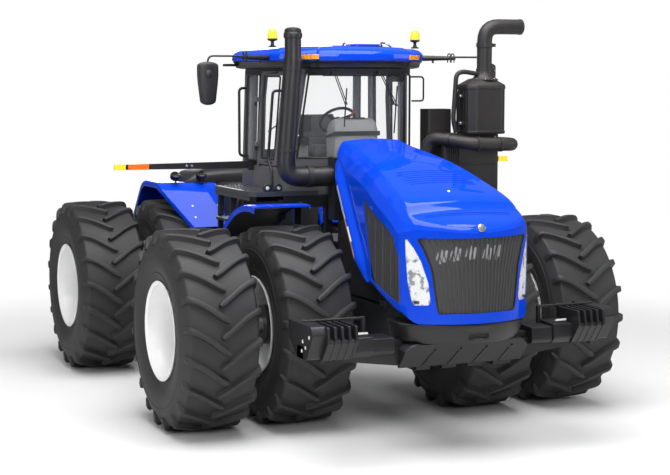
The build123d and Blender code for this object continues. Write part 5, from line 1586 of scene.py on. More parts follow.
class TRACTOR_OT_cab(bpy.types.Operator):
    """Make the cab's walls, posts, seals, wipers and outside trim"""

    bl_idname = "tractor.cab"
    bl_label = "Cab"

    GLASS_LOW = 2.745
    GLASS_HIGH = 3.655
    MIDDLE_POST = 1.462
    POST_BEND = 3.4
    SEAL = 0.085

    def execute(self, context):
        self.body(context.scene.tractor_cab.post_width)
        self.seals()
        self.wipers()
        self.door_trim()
        return {"FINISHED"}

    def at(self, side, k, z, inset):
        x, d = CAB.corner(k, z, 0.0)
        return (side * (x - inset), aft(d + (inset if k == 0 else -inset if k == 3 else 0.0)), z)

    def body(self, width):
        shape = Shape("cab_shell")
        floor = CAB.ring(CAB.low + 0.002, 0.01)
        shape.loft([floor, [(x, y, CAB.low + 0.06) for x, y, z in floor]], DARK)
        wall(shape, CAB.low, SILL - 0.015, 0.05, PANEL)
        wall(shape, CAB.high - 0.055, CAB.high, 0.07, DARK)
        for span, top, front in (((-0.7, 0.7), 2.735, True), ((-0.66, 0.66), 2.78, False)):
            steps = 14
            rings = []
            for k in range(steps + 1):
                x = span[0] + (span[1] - span[0]) * k / steps
                ring = []
                for z, inset in ((SILL - 0.02, 0.004), (top, 0.004), (top, 0.05), (SILL - 0.02, 0.05)):
                    d = CAB.front(x, z, inset) if front else CAB.corner(3, z)[1] - inset
                    ring.append((x, aft(d), z))
                rings.append(ring)
            shape.loft(rings, PANEL)
        for side in (-1, 1):
            for k, wide, turn, inset in ((0, width + 0.01, 40, 0.042), (2, width, 90, 0.035),
                                         (3, width, 0, 0.03)):
                foot, head = self.at(side, k, SILL - 0.03, inset), self.at(side, k, CAB.high - 0.02, inset)
                post(shape, foot, head, wide, 0.055, turn if side > 0 else 180 - turn, PANEL)
                lined = [(x - side * 0.028, y + (0.02 if k == 0 else -0.02), z) for x, y, z in (foot, head)]
                post(shape, *lined, wide * 0.8, 0.04, turn if side > 0 else 180 - turn, LINING)
            foot = (side * 0.82, aft(self.MIDDLE_POST), SILL - 0.03)
            bend = (side * (CAB.corner(1, self.POST_BEND)[0] - 0.02), aft(self.MIDDLE_POST), self.POST_BEND)
            head = (side * 0.775, aft(1.4), CAB.high - 0.02)
            post(shape, foot, bend, 0.052, 0.045, 90, PANEL)
            post(shape, bend, head, 0.052, 0.045, 90, PANEL)
            for z in (2.8, 3.3):
                knuckle = -0.866 if side < 0 else 0.853
                shape.rod((knuckle, aft(1.448), z), (knuckle, aft(1.448), z + 0.05), 0.015, BLACK)
        shape.done(bevel=0.004, replaces=["cab_body"])

    def seals(self):
        """Black rubber round the windshield, rear window and side windows."""
        shape = Shape("cab_seals")
        lines = []
        for z in (self.GLASS_LOW, self.GLASS_HIGH):
            edge = CAB.corner(0, z)[0] - self.SEAL
            lines.append([(edge * k / 8, aft(CAB.front(edge * k / 8, z, 0.012)), z) for k in range(-8, 9)])
        for side in (-1, 1):
            edges = [(CAB.corner(0, z)[0] - self.SEAL, z) for z in (self.GLASS_LOW, 3.2, self.GLASS_HIGH)]
            lines.append([(side * edge, aft(CAB.front(edge, z, 0.012)), z) for edge, z in edges])
            for d0, d1 in (((1.49, 1.885),) if side < 0 else ((0.955, 1.425), (1.49, 1.885))):
                corners = [(side * (CAB.corner(2, z)[0] - 0.014), aft(d), z)
                           for d, z in ((d0, SILL + 0.04), (d1, SILL + 0.04), (d1 - 0.035, self.GLASS_HIGH),
                                        (d0 - 0.05, self.GLASS_HIGH), (d0, SILL + 0.04))]
                lines.append(corners)
        for line in lines:
            shape.tube(line, 0.012, BLACK, 0.03, 8)
        shape.done()

    def wipers(self):
        shape = Shape("cab_wipers")
        for x0, reach, drop, blade in ((-0.36, 0.14, 0.34, 0.42), (0.16, 0.26, 0.36, 0.52)):
            top = 3.67
            hub = (x0, aft(CAB.front(x0, top) - 0.02), top)
            shape.rod((hub[0], hub[1] - 0.025, hub[2]), (hub[0], hub[1] + 0.03, hub[2]), 0.022, BLACK)
            elbow_x = x0 + reach
            z1 = top - drop
            for shift in (0.0, 0.022):
                shape.tube([(hub[0] + shift, hub[1] - 0.02, top),
                            (elbow_x + shift, aft(CAB.front(elbow_x, z1) - 0.035), z1)], 0.006, BLACK, 0.02,
                           8)
            shape.tube([(elbow_x + 0.01, aft(CAB.front(elbow_x, z) - 0.02), z)
                        for z in (z1 + blade * 0.42, z1, z1 - blade * 0.58)], 0.008, BLACK, 0.05, 8)
        shape.done()

    def door_trim(self):
        """Handle, seal and gas spring on the door."""
        shape = Shape("door_trim", "door")
        x = -CAB.corner(2, 2.7)[0]
        shape.tube([(x - 0.005, aft(1.0), 2.69), (x - 0.03, aft(1.02), 2.69), (x - 0.03, aft(1.13), 2.69),
                    (x - 0.005, aft(1.15), 2.69)], 0.009, BLACK, 0.015, 8)
        shape.rod((x + 0.075, aft(1.02), 3.1), (x + 0.075, aft(1.3), 3.02), 0.009, STEEL, 10)
        outline = [(-(CAB.corner(1, z)[0] - 0.012), aft(d), z) for d, z in (
            (0.975, 2.72), (1.365, 2.72), (1.365, 3.4), (1.325, 3.635), (0.86, 3.635), (0.975, 2.72))]
        shape.tube(outline, 0.01, BLACK, 0.03, 8)
        shape.done()


class RoofForm:
    """Rounded outline of the roof at a height, as an inset of its widest line."""

    CORNERS = ((0.538, 0.362), (0.72, 0.512), (0.96, 0.82), (0.96, 2.04), (0.8, 2.25))
    FRONT = 0.25

    def ring(self, inset, z):
        edge_x, edge_d = self.CORNERS[0]
        reach = edge_d - self.FRONT
        radius = (edge_x**2 + reach**2) / (2 * reach)
        centre = Vector((0.0, 1.3))
        front = [(edge_x * k / 6, self.FRONT + radius - math.sqrt(radius**2 - (edge_x * k / 6) ** 2))
                 for k in range(-6, 7)]
        side = rounded([(0.0, 1.3), *self.CORNERS], 0.16, 5)
        side = [p for p in side if p[0] > edge_x + 0.002]
        outline = front + side + [(-x, d) for x, d in reversed(side)]
        ring = []
        for x, d in outline:
            point = Vector((x, d))
            inwards = centre - point
            share = Vector((inwards.x * (1 - inset / 0.97), inwards.y * (1 - inset / 1.02)))
            point = centre - share
            ring.append((point.x, aft(point.y), z))
        return ring


ROOF = RoofForm()


class TRACTOR_OT_roof(bpy.types.Operator):
    """Make the roof, its trim, corner lamps, lamp bar and the receiver on top"""

    bl_idname = "tractor.roof"
    bl_label = "Roof"

    def execute(self, context):
        crown = context.scene.tractor_cab.roof_crown
        low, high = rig.box("roof")
        top = high.z
        shape = Shape("roof_skin")
        levels = ((0.1, low.z - 0.002), (0.022, low.z), (0.004, low.z + 0.01),
                  (0.0, low.z + 0.03), (0.004, low.z + 0.075), (0.02, top - 0.05), (0.05, top - 0.026),
                  (0.1, top - 0.012), (0.2, top - 0.004), (0.215, top + 0.004), (0.4, top + crown * 0.6),
                  (0.65, top + crown * 0.9), (0.9, top + crown))
        shape.loft([ROOF.ring(inset, z) for inset, z in levels], BLUE)
        shape.done(sharp=24, replaces=["roof"])
        self.underside()
        self.lamps(low.z)
        self.receiver(top)
        return {"FINISHED"}

    def underside(self):
        low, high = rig.box("roof_trim")
        shape = Shape("roof_underside")
        levels = ((0.1, low.z), (0.045, low.z + 0.012), (0.03, high.z - 0.02), (0.012, high.z - 0.004),
                  (0.012, high.z + 0.008), (0.1, high.z + 0.008))
        shape.loft([ROOF.ring(inset, z) for inset, z in levels], BLACK)
        for side in (-1, 1):
            for x, d in ((0.3, 0.335), (0.46, 0.385)):
                shape.box((side * x - 0.055, aft(d) + 0.01, low.z + 0.012),
                          (side * x + 0.055, aft(d) + 0.09, high.z - 0.01), BLACK)
            visor = [(side * 0.7, aft(2.02)), (side * 1.06, aft(1.78)), (side * 1.08, aft(1.86)),
                     (side * 1.04, aft(2.06)), (side * 0.78, aft(2.16))]
            shape.prism(visor, low.z + 0.03, low.z + 0.058, "z", BLACK)
        shape.done(sharp=35, bevel=0.004, replaces=["roof_trim"])

    def lamps(self, low):
        """Amber corner lamps in three segments."""
        for hand, side in SIDES:
            shape = Shape(f"{hand}_corner_lamp")
            ring = [Vector(p) for p in ROOF.ring(0.0, 0.0)]
            front = [p for p in ring if 0.535 <= side * p.x <= 0.745 and p.y < aft(0.6)]
            front.sort(key=lambda p: side * p.x)
            start, end = front[0], front[-1]
            run = (end - start).normalized()
            out = Vector((run.y, -run.x, 0))
            if out.y > 0:
                out = -out
            for k in range(3):
                a, b = (start + (end - start) * (k + s) / 3 for s in (0.02, 0.98))
                rings = [[a + out * depth + Vector((0, 0, z)), b + out * depth + Vector((0, 0, z)),
                          b - out * 0.03 + Vector((0, 0, z)), a - out * 0.03 + Vector((0, 0, z))]
                         for z, depth in ((low + 0.016, -0.01), (low + 0.02, 0.01), (low + 0.066, 0.01),
                                          (low + 0.072, -0.01))]
                shape.loft(rings, "amber_plastic")
            shape.done(bevel=0.003, replaces=["corner_lamps"])

    def receiver(self, top):
        """The low positioning receiver on its bracket, with two grab handles."""
        shape = Shape("roof_receiver")
        base = rounded(oblong(-0.02, aft(0.62), 0.34, aft(0.92)), 0.05)
        shape.prism(base, top - 0.005, top + 0.022, "z", BLACK)
        shape.prism([(x * 0.86 + 0.0224, y) for x, y in base], top + 0.022, top + 0.04, "z", BLUE)
        for x, lean in ((-0.1, 0.04), (0.4, -0.02)):
            shape.tube([(x + 0.06, aft(0.66), top + 0.005), (x, aft(0.66), top + 0.05),
                        (x + lean, aft(0.78), top + 0.062), (x + 0.06, aft(0.9), top + 0.005)], 0.01, STEEL,
                       0.04, 10)
        shape.done(bevel=0.005, segments=3, sharp=40)


class TRACTOR_OT_beacons(bpy.types.Operator):
    """Make the beacons: yellow domes on black stems"""

    bl_idname = "tractor.beacons"
    bl_label = "Beacons"

    def execute(self, context):
        low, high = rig.box("beacons")
        x, y = high.x - 0.055, (low.y + high.y) / 2
        dome, foot = high.z - 0.107, low.z
        for hand, side in SIDES:
            base = Shape(f"{hand}_beacon_stem")
            base.turned([(0, 0.046), (0.012, 0.045), (0.018, 0.024), (0.05, 0.016),
                         (dome - foot - 0.028, 0.02), (dome - foot - 0.016, 0.052), (dome - foot, 0.056)],
                        (side * x, y, foot), (0, 0, 1), BLACK, 32)
            base.done(sharp=30)
            lens = Shape(f"{hand}_beacon_dome")
            lens.turned([(0, 0.05), (0.006, 0.054), (0.03, 0.053), (0.034, 0.049), (0.038, 0.052),
                         (0.072, 0.05), (0.08, 0.045), (0.094, 0.042), (0.103, 0.034), (0.107, 0.018)],
                        (side * x, y, dome), (0, 0, 1), "beacon_yellow", 40)
            lens.done(sharp=30, replaces=["beacons"])
        return {"FINISHED"}


class TRACTOR_OT_mirrors(bpy.types.Operator):
    """Make the mirrors: tapered arms, clamps and rounded housings with their glass"""

    bl_idname = "tractor.mirrors"
    bl_label = "Mirrors"

    def execute(self, context):
        low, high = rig.box("mirrors")
        arm_z = high.z - 0.028
        y = low.y + 0.045
        for hand, side in SIDES:
            shape = Shape(f"{hand}_mirror")
            stem_x = high.x - 0.125
            shape.rod((side * 0.88, aft(0.875), arm_z), (side * 1.29, aft(0.71), arm_z), 0.034, BLACK, 16,
                      0.021)
            for x in (1.225, 1.262):
                d = 0.867 - (x - 0.9) * 0.4026
                shape.tube([(side * x, aft(d) - 0.03, arm_z - 0.05), (side * x, aft(d) - 0.03, arm_z + 0.05),
                            (side * x, aft(d) + 0.04, arm_z + 0.05), (side * x, aft(d) + 0.04, arm_z - 0.05)],
                           0.007, BLACK, 0.03, 8)
            shape.rod((side * 1.05, aft(0.805), arm_z - 0.055), (side * 1.05, aft(0.805), arm_z + 0.03),
                      0.012, BLACK)
            shape.tube([(side * 1.25, aft(0.716), arm_z + 0.012),
                        (side * (stem_x - 0.03), y + 0.005, arm_z + 0.012), (side * stem_x, y, arm_z - 0.03),
                        (side * stem_x, y, arm_z - 0.1)], 0.0105, BLACK, 0.045, 12)
            self.housing(shape, side, stem_x, y, arm_z - 0.51, arm_z - 0.05)
            shape.done(bevel=0.003, replaces=["mirrors"])
        return {"FINISHED"}

    def housing(self, shape, side, x, y, bottom, top):
        """A shell that narrows downwards, with a bulge in front and glass behind."""
        def outline(z):
            t = (z - bottom) / (top - bottom)
            half = 0.085 + 0.036 * min(1.0, t * 1.6)
            end = min(1.0, (min(t, 1 - t) / 0.09))
            return half * math.sqrt(max(0.05, 1 - (1 - end) ** 2))

        levels = [bottom + (top - bottom) * t
                  for t in (0.0, 0.012, 0.03, 0.06, 0.1, 0.3, 0.5, 0.7, 0.86, 0.93, 0.97, 0.988, 1.0)]
        rings = []
        for z in levels:
            half = outline(z)
            deep = 0.04 * math.sqrt(half / 0.121)
            ring = [(side * (x + half * math.cos(a)), y - deep * math.sin(a)
                     * (1.0 if math.sin(a) > 0 else 0.35), z) for a in (math.tau * k / 28 for k in range(28))]
            rings.append(ring)
        shape.loft(rings, BLACK)
        shape.turned([(0.0, 0.045), (0.014, 0.04), (0.022, 0.026), (0.024, 0.0)],
                     (side * x, y - 0.032, top - 0.13), (0, -1, 0), BLACK, 24)
        glass = [(side * (x + outline(z) * 0.86 * s), y + 0.0145, z) for z, s in
                 ((bottom + 0.03, -1), (bottom + 0.03, 1), (top - 0.03, 1), (top - 0.03, -1))]
        shape.loft([glass, [(a, b + 0.003, c) for a, b, c in glass]], STEEL)


# ---------------------------------------------------------------- inside the cab


class TRACTOR_OT_interior(bpy.types.Operator):
    """Make the dashboard, steering wheel, side console and cab lining"""

    bl_idname = "tractor.interior"
    bl_label = "Interior"

    def execute(self, context):
        self.dashboard()
        self.steering_wheel()
        self.console()
        self.lining()
        return {"FINISHED"}

    def dashboard(self):
        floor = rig.box("dashboard")[0].z
        top = 3.18
        shape = Shape("dash_hump")
        rings = []
        for x, drop in ((-0.262, 0.1), (-0.255, 0.045), (-0.235, 0.018), (-0.19, 0.004), (0.0, 0.0),
                        (0.19, 0.004), (0.235, 0.018), (0.255, 0.045), (0.262, 0.1)):
            front = 0.555 + drop * 0.5
            rings.append([(x, aft(d), z) for d, z in (
                (front + 0.075, 2.46), (front, 2.99), (front + 0.005, 3.07 - drop * 0.4),
                (front + 0.04, top - 0.03 - drop), (front + 0.09, top - drop), (0.73, top - 0.01 - drop),
                (0.79, top - 0.055 - drop * 0.6), (0.81, 3.06 - drop * 0.3), (0.825, 2.96), (0.79, 2.46))])
        shape.loft(rings, LINING)
        shape.loft([[(x, aft(d), z) for d, z in ((0.548, 2.985), (0.835, 2.955), (0.835, 2.975),
                                                 (0.548, 3.035))] for x in (-0.272, 0.272)], BLACK)
        shape.prism([(-0.21, 3.02), (0.21, 3.02), (0.19, 3.105), (-0.19, 3.105)], aft(0.805), aft(0.826), "y",
                    BLACK)
        shape.loft([[(x, aft(d), z) for d, z in ((0.6, top - 0.006), (0.66, top + 0.004),
                                                 (0.67, top - 0.006))] for x in (-0.13, 0.13)], BLACK)
        shape.box((-0.09, aft(0.76), floor), (0.09, aft(1.01), floor + 0.06), BLACK)
        shape.rod((0, aft(0.96), floor + 0.04), (0, aft(1.08), 3.078), 0.042, BLACK, 24)
        shape.turned([(0, 0.05), (0.11, 0.045), (0.13, 0.036)], (0, aft(1.035), 2.9), (0, 0.2, 1), BLACK, 24)
        shape.done(bevel=0.006, sharp=35, replaces=["dashboard"], slot=BLACK)

    def steering_wheel(self):
        centre = Vector((0.0, aft(1.12), 3.14))
        tilt = math.radians(44.0)
        up = Vector((0, math.sin(tilt), math.cos(tilt)))
        back = Vector((0, -math.cos(tilt), math.sin(tilt)))
        shape = Shape("steering_wheel_rim")
        shape.turned([(0.017 * math.sin(a), 0.2 + 0.017 * math.cos(a))
                      for a in (math.tau * k / 12 for k in range(12))], centre, up, BLACK, 56, closed=True)
        for turn in (90, 210, 330):
            run = Vector((1, 0, 0)) * math.cos(math.radians(turn)) - back * math.sin(math.radians(turn))
            side = up.cross(run)
            rings = []
            for reach, wide, thick in ((0.03, 0.024, 0.012), (0.1, 0.016, 0.009), (0.19, 0.014, 0.008)):
                middle = centre + run * reach - up * (0.012 * (1 - reach / 0.19))
                rings.append([middle + side * a + up * b for a, b in
                              ((-wide, -thick), (wide, -thick), (wide, thick), (-wide, thick))])
            shape.loft(rings, BLACK)
        shape.turned([(-0.066, 0.024), (-0.03, 0.026), (-0.02, 0.045), (0.01, 0.046), (0.018, 0.038),
                      (0.02, 0.0)], centre, up, BLACK, 32)
        shape.rod(centre + Vector((0.13, -0.1, 0.055)), centre + Vector((0.16, -0.12, 0.115)), 0.013,
                  "orange_plastic")
        shape.done(bevel=0.002, sharp=40, replaces=["steering_wheel"])

    def console(self):
        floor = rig.box("side_console")[0].z
        shape = Shape("console")
        side = rounded([(aft(1.22), floor), (aft(1.7), floor), (aft(1.7), 2.93), (aft(1.52), 2.955),
                        (aft(1.25), 2.9)], 0.05)
        shape.prism(side, -0.478, -0.305, "x", LINING)
        shape.prism(rounded([(aft(1.16), 2.86), (aft(1.3), 2.86), (aft(1.34), 2.945), (aft(1.17), 2.955)],
                            0.02), -0.458, -0.325, "x", BLACK)
        shape.tube([(-0.39, aft(1.2), 2.95), (-0.39, aft(1.19), 3.02), (-0.395, aft(1.195), 3.06)], 0.013,
                   BLACK, 0.02, 12)
        shape.turned([(0, 0.014), (0.02, 0.022), (0.05, 0.02), (0.062, 0.0)], (-0.395, aft(1.195), 3.045),
                     (0, 0, 1), "orange_plastic", 20)
        for k in range(4):
            shape.rod((-0.43 + 0.03 * k, aft(1.25), 2.925), (-0.43 + 0.03 * k, aft(1.25), 2.965), 0.008,
                      "orange_plastic" if k == 1 else BLACK, 10)
        armrest = rounded([(aft(1.38), 2.97), (aft(1.68), 2.97), (aft(1.68), 3.03), (aft(1.38), 3.02)], 0.025)
        shape.prism(armrest, -0.44, -0.34, "x", BLACK)
        shape.box((-0.4, aft(1.55), 2.94), (-0.38, aft(1.6), 2.98), BLACK)
        shape.done(bevel=0.012, segments=3, replaces=["side_console"])
        screen = Shape("console_screen")
        screen.prism(rounded([(aft(1.02), 3.02), (aft(1.03), 3.2), (aft(1.055), 3.2), (aft(1.045), 3.02)],
                             0.008), -0.55, -0.36, "x", BLACK)
        screen.prism([(aft(1.046), 3.035), (aft(1.056), 3.185), (aft(1.058), 3.185), (aft(1.048), 3.035)],
                     -0.535, -0.375, "x", "lamp_reflector")
        screen.tube([(-0.45, aft(1.05), 3.04), (-0.44, aft(1.12), 2.98), (-0.42, aft(1.2), 2.94)], 0.01,
                    BLACK, 0.03)
        screen.done(bevel=0.003)

    def lining(self):
        """Headliner, floor mat, side trim, grab handle, sun blind and the lamp box by the left-hand post."""
        shape = Shape("cab_lining")
        top = CAB.high
        ceiling = CAB.ring(top - 0.075, 0.075)
        shape.loft([ceiling, [(x, y, z + 0.03) for x, y, z in ceiling]], LINING)
        mat = CAB.ring(CAB.low + 0.063, 0.075)
        shape.loft([mat, [(x, y, z + 0.01) for x, y, z in mat]], BLACK)
        for side in (-1, 1):
            shape.prism(oblong(aft(1.5), 2.42, aft(1.86), 2.62),
                        min(side * 0.76, side * 0.79), max(side * 0.76, side * 0.79), "x", LINING)
        shape.tube([(-0.585, aft(0.7), 3.6), (-0.6, aft(0.78), 3.54), (-0.63, aft(0.86), 3.1),
                    (-0.63, aft(0.82), 2.98), (-0.665, aft(0.83), 2.9)], 0.013, BLACK, 0.06, 12)
        shape.box((0.37, aft(0.5), 3.575), (0.53, aft(0.6), 3.655), BLACK)
        shape.tube([(0.45, aft(0.55), 3.655), (0.45, aft(0.55), 3.7)], 0.012, BLACK)
        shape.rod((-0.45, aft(0.47), 3.655), (0.45, aft(0.47), 3.655), 0.018, BLACK)
        shape.done(bevel=0.004)
        loop = Shape("cab_front_loop")
        loop.tube([(0.72, aft(0.7), 3.63), (0.86, aft(0.66), 3.63), (0.86, aft(0.66), 3.36),
                   (0.74, aft(0.72), 3.36)], 0.01, BLACK, 0.035, 10)
        loop.done()


def padding(name, low, high, grooves, cap=0.024):
    """A cushion swollen by a short cloth simulation inside its CAD solid's box, then sewn.

    A groove is (axis across it, place, half width); cap is how far the cloth may swell.
    """
    margin = 0.022
    steps = 20
    seam, deepest = 0.011, 0.014
    low, high = Vector(low), Vector(high)
    shape = bmesh.new()
    bmesh.ops.create_cube(shape, size=1.0)
    bmesh.ops.scale(shape, vec=(high - low) - Vector((margin, margin, margin)) * 2, verts=shape.verts)
    bmesh.ops.translate(shape, vec=(low + high) / 2, verts=shape.verts)
    bmesh.ops.bevel(shape, geom=shape.edges[:], offset=0.03, segments=4, affect="EDGES", profile=0.5)
    data = bpy.data.meshes.new(name)
    shape.to_mesh(data)
    shape.free()
    piece = linked(name, data)
    remesh = piece.modifiers.new("Remesh", "REMESH")
    remesh.mode = "VOXEL"
    remesh.voxel_size = 0.009
    applied(piece)
    before = [v.co.copy() for v in piece.data.vertices]
    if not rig.quick():
        cloth = piece.modifiers.new("Cloth", "CLOTH")
        cloth.settings.use_pressure = True
        cloth.settings.uniform_pressure_force = 4.0
        cloth.settings.effector_weights.gravity = 0.0
        cloth.point_cache.frame_start = 1
        cloth.point_cache.frame_end = steps
        for step in range(1, steps + 1):
            bpy.context.scene.frame_set(step)
        applied(piece)
        bpy.context.scene.frame_set(1)
    for vertex, start in zip(piece.data.vertices, before):
        moved = vertex.co - start
        if moved.length > cap:
            vertex.co = start + moved * (cap / moved.length)
        for axis in range(3):
            vertex.co[axis] = min(high[axis] - 0.001, max(low[axis] + 0.001, vertex.co[axis]))
    for vertex in piece.data.vertices:
        press = 0.0
        for axis, at, width in grooves:
            press += seam * math.exp(-(((vertex.co[axis] - at) / width) ** 2))
        vertex.co -= vertex.normal * min(press, deepest)
    piece.data.shade_smooth()
    smooth = piece.modifiers.new("Subdivision", "SUBSURF")
    smooth.levels = smooth.render_levels = 1
    piece.data.materials.append(finish("seat_fabric"))
    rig.ride(piece, "front_unit")
    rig.slot(piece, "seat_fabric")
    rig.padded(piece, fill=0.8)
    return piece


class TRACTOR_OT_seat(bpy.types.Operator):
    """Make the driver's seat: its suspension, padded cushion and back"""

    bl_idname = "tractor.seat"
    bl_label = "Seat"

    def execute(self, context):
        low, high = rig.box("seat_cushion")
        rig.replaces(padding("seat_cushion_pad", low, high, ((0, -0.15, 0.008), (0, 0.15, 0.008))),
                    "seat_cushion")
        low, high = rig.box("seat_back")
        back = padding("seat_back_pad", low, high,
                       ((0, -0.15, 0.008), (0, 0.15, 0.008), (2, 2.93, 0.007), (2, 3.06, 0.007)))
        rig.replaces(back, "seat_back")
        self.frame(high.y)
        return {"FINISHED"}

    def frame(self, rear):
        """What carries the pads; rear is the y of the back pad's rear face."""
        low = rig.box("seat_base")[0]
        shape = Shape("seat_frame")
        shape.box((-0.19, aft(1.3), low.z), (0.19, aft(1.64), low.z + 0.05), BLACK)
        folds = 6
        rise = (2.68 - low.z - 0.05) / folds
        rings = []
        for k in range(2 * folds + 1):
            half = 0.155 if k % 2 else 0.135
            z = low.z + 0.05 + rise * k / 2
            rings.append([(x, y, z) for x, y in rounded(
                oblong(-half, aft(1.47) - half, half, aft(1.47) + half),
                0.05)])
        shape.loft(rings, BLACK)
        shape.prism(rounded(oblong(-0.23, aft(1.26), 0.23, aft(1.72)), 0.05),
                    2.68, 2.716, "z", BLACK)
        back = rounded([(-0.2, 2.7), (0.2, 2.7), (0.19, 3.1), (0.14, 3.17), (-0.14, 3.17), (-0.19, 3.1)],
                       0.05)
        shape.prism(back, rear + 0.002, rear + 0.028, "y", BLACK)
        for side in (-1, 1):
            shape.tube([(side * 0.245, aft(1.7), 2.7), (side * 0.262, aft(1.62), 2.7),
                        (side * 0.262, aft(1.36), 2.7)], 0.012, BLACK, 0.03)
        shape.done(bevel=0.006, replaces=["seat_base"])


# ---------------------------------------------------------------- front unit, outside


class DetailSettings(bpy.types.PropertyGroup):
    """Fenders and bumper."""

    arch_steps: bpy.props.IntProperty(
        name="Arch steps", description="Segments along each front fender's arch", default=36, min=8, max=96)
    bumper_fins: bpy.props.IntProperty(
        name="Bumper fins", description="Upright fins on each bumper box", default=5, min=2, max=12)


def mirrored(side, low, high):
    """Two distances from the centreline as a pair in rising order on the chosen side."""
    return (low, high) if side > 0 else (-high, -low)


class TRACTOR_OT_exhaust(bpy.types.Operator):
    """Make the exhaust cabinet, silencer, stack and cross pipe"""

    bl_idname = "tractor.exhaust"
    bl_label = "Exhaust"

    STACK_X = 1.385
    STACK_AFT = 0.2
    TAIL_Z = 4.185

    def execute(self, context):
        shape = Shape("exhaust_cabinet")
        shape.prism(rounded(oblong(0.85, aft(0.6), 1.56, aft(0.15)), 0.05),
                    2.3, 3.0, "z", EXHAUST)
        shape.prism(rounded(oblong(0.855, aft(0.75), 1.15, aft(0.52)), 0.03),
                    2.36, 3.27, "z", EXHAUST)
        for k in range(6):
            x = 0.9 + 0.028 * k
            shape.box((x, aft(0.15), 2.36), (x + 0.012, aft(0.138), 2.96), EXHAUST)
        for z in (2.42, 2.66, 2.9):
            shape.box((0.89, aft(0.15), z), (1.52, aft(0.14), z + 0.014), EXHAUST)
        for z in (2.36, 2.96):
            for x in (1.12, 1.5):
                shape.bolt((x, aft(0.148), z), (0, -1, 0), 0.012, STEEL)
        shape.done(bevel=0.008, replaces=["exhaust_housing"])
        self.canister()
        self.stack()
        self.pipe()
        return {"FINISHED"}

    def canister(self):
        shape = Shape("silencer")
        middle = (1.355, 0.2025)

        def outline(grow, z):
            corners = [(1.11, 0.09), (1.19, 0.005), (1.52, 0.005), (1.6, 0.09), (1.6, 0.33), (1.54, 0.4),
                       (1.17, 0.4), (1.11, 0.33)]
            ring = rounded(corners, 0.03, 4)
            return [(middle[0] + (x - middle[0]) * grow, aft(middle[1] + (d - middle[1]) * grow), z)
                    for x, d in ring]

        levels = ((0.97, 3.0), (1.0, 3.012), (1.0, 3.03), (0.975, 3.036), (0.975, 3.495), (1.0, 3.5),
                  (1.0, 3.525), (0.96, 3.545), (0.55, 3.605), (0.42, 3.612))
        shape.loft([outline(grow, z) for grow, z in levels], EXHAUST)
        shape.turned([(0, 0.155), (0.012, 0.155), (0.03, 0.125), (0.075, 0.098), (0.1, 0.094)],
                     (self.STACK_X, aft(self.STACK_AFT), 3.59), (0, 0, 1), EXHAUST, 36)
        for d in (0.1, 0.17, 0.24, 0.31):
            shape.box((1.102, aft(d + 0.01), 3.06), (1.114, aft(d - 0.01), 3.47), EXHAUST)
        for turn in range(8):
            angle = math.tau * (turn + 0.5) / 8
            shape.bolt((self.STACK_X + 0.14 * math.cos(angle), aft(self.STACK_AFT + 0.14 * math.sin(angle)),
                        3.603), (0, 0, 1), 0.01, STEEL)
        shape.tube([(1.02, aft(0.17), 3.02), (0.985, aft(0.17), 3.16), (1.02, aft(0.17), 3.66),
                    (1.1, aft(0.17), 3.69), (1.3, aft(0.18), 3.66)], 0.026, EXHAUST, 0.06, 14)
        shape.box((1.03, aft(0.22), 3.1), (1.112, aft(0.14), 3.14), EXHAUST)
        shape.box((1.03, aft(0.22), 3.4), (1.112, aft(0.14), 3.44), EXHAUST)
        for z in (3.12, 3.42):
            shape.bolt((1.06, aft(0.135), z), (0, -1, 0), 0.013, STEEL)
        shape.done(bevel=0.003, sharp=32, replaces=["exhaust_canister"])

    def stack(self):
        shape = Shape("exhaust_tail")
        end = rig.box("exhaust_stack")[1].x - 0.006
        x, y, z = self.STACK_X, aft(self.STACK_AFT), self.TAIL_Z
        shape.tube([(x, y, 3.6), (x, y, z), (end, y, z)], 0.084, EXHAUST, 0.17, 36)
        shape.turned([(-0.1, 0.07), (0, 0.074), (0.004, 0.082), (0, 0.087), (-0.03, 0.087), (-0.03, 0.082)],
                     (end, y, z), (1, 0, 0), EXHAUST, 36, closed=True)
        # A black disc closes the pipe's mouth: painted shade of its hollow inside.
        shape.turned([(0.0, 0.0), (0.002, 0.071)], (end - 0.001, y, z), (1, 0, 0), BLACK, 36)
        for z in (3.7, 3.98):
            shape.band((x, y, z), (0, 0, 1), 0.083, 0.093, 0.022, EXHAUST, 36)
            shape.box((1.47, aft(0.215), z - 0.018), (1.52, aft(0.185), z + 0.018), EXHAUST)
            shape.rod((1.5, aft(0.165), z), (1.5, aft(0.235), z), 0.007, STEEL, 10)
        shape.done(bevel=0.002, sharp=40, replaces=["exhaust_stack"])

    def pipe(self):
        shape = Shape("exhaust_crossover")
        path = [(0.4, 0.355, 2.64), (0.69, 0.345, 2.68), (0.76, 0.28, 2.96), (1.08, -0.1, 2.9),
                (1.56, -0.11, 2.885), (1.655, 0.04, 2.885), (1.655, 0.3, 2.885), (1.54, 0.3, 2.885)]
        shape.tube([(x, aft(d), z) for x, d, z in path], 0.071, EXHAUST, 0.11, 28)
        for k, t in ((2, 0.45), (3, 0.14), (3, 0.72)):
            (x0, d0, z0), (x1, d1, z1) = path[k], path[k + 1]
            at = Vector((x0 + (x1 - x0) * t, aft(d0 + (d1 - d0) * t), z0 + (z1 - z0) * t))
            axis = Vector((x1 - x0, d1 - d0, z1 - z0)).normalized()
            shape.band(at, axis, 0.071, 0.079, 0.018, EXHAUST, 32)
        shape.done(sharp=45, replaces=["exhaust_pipe"])


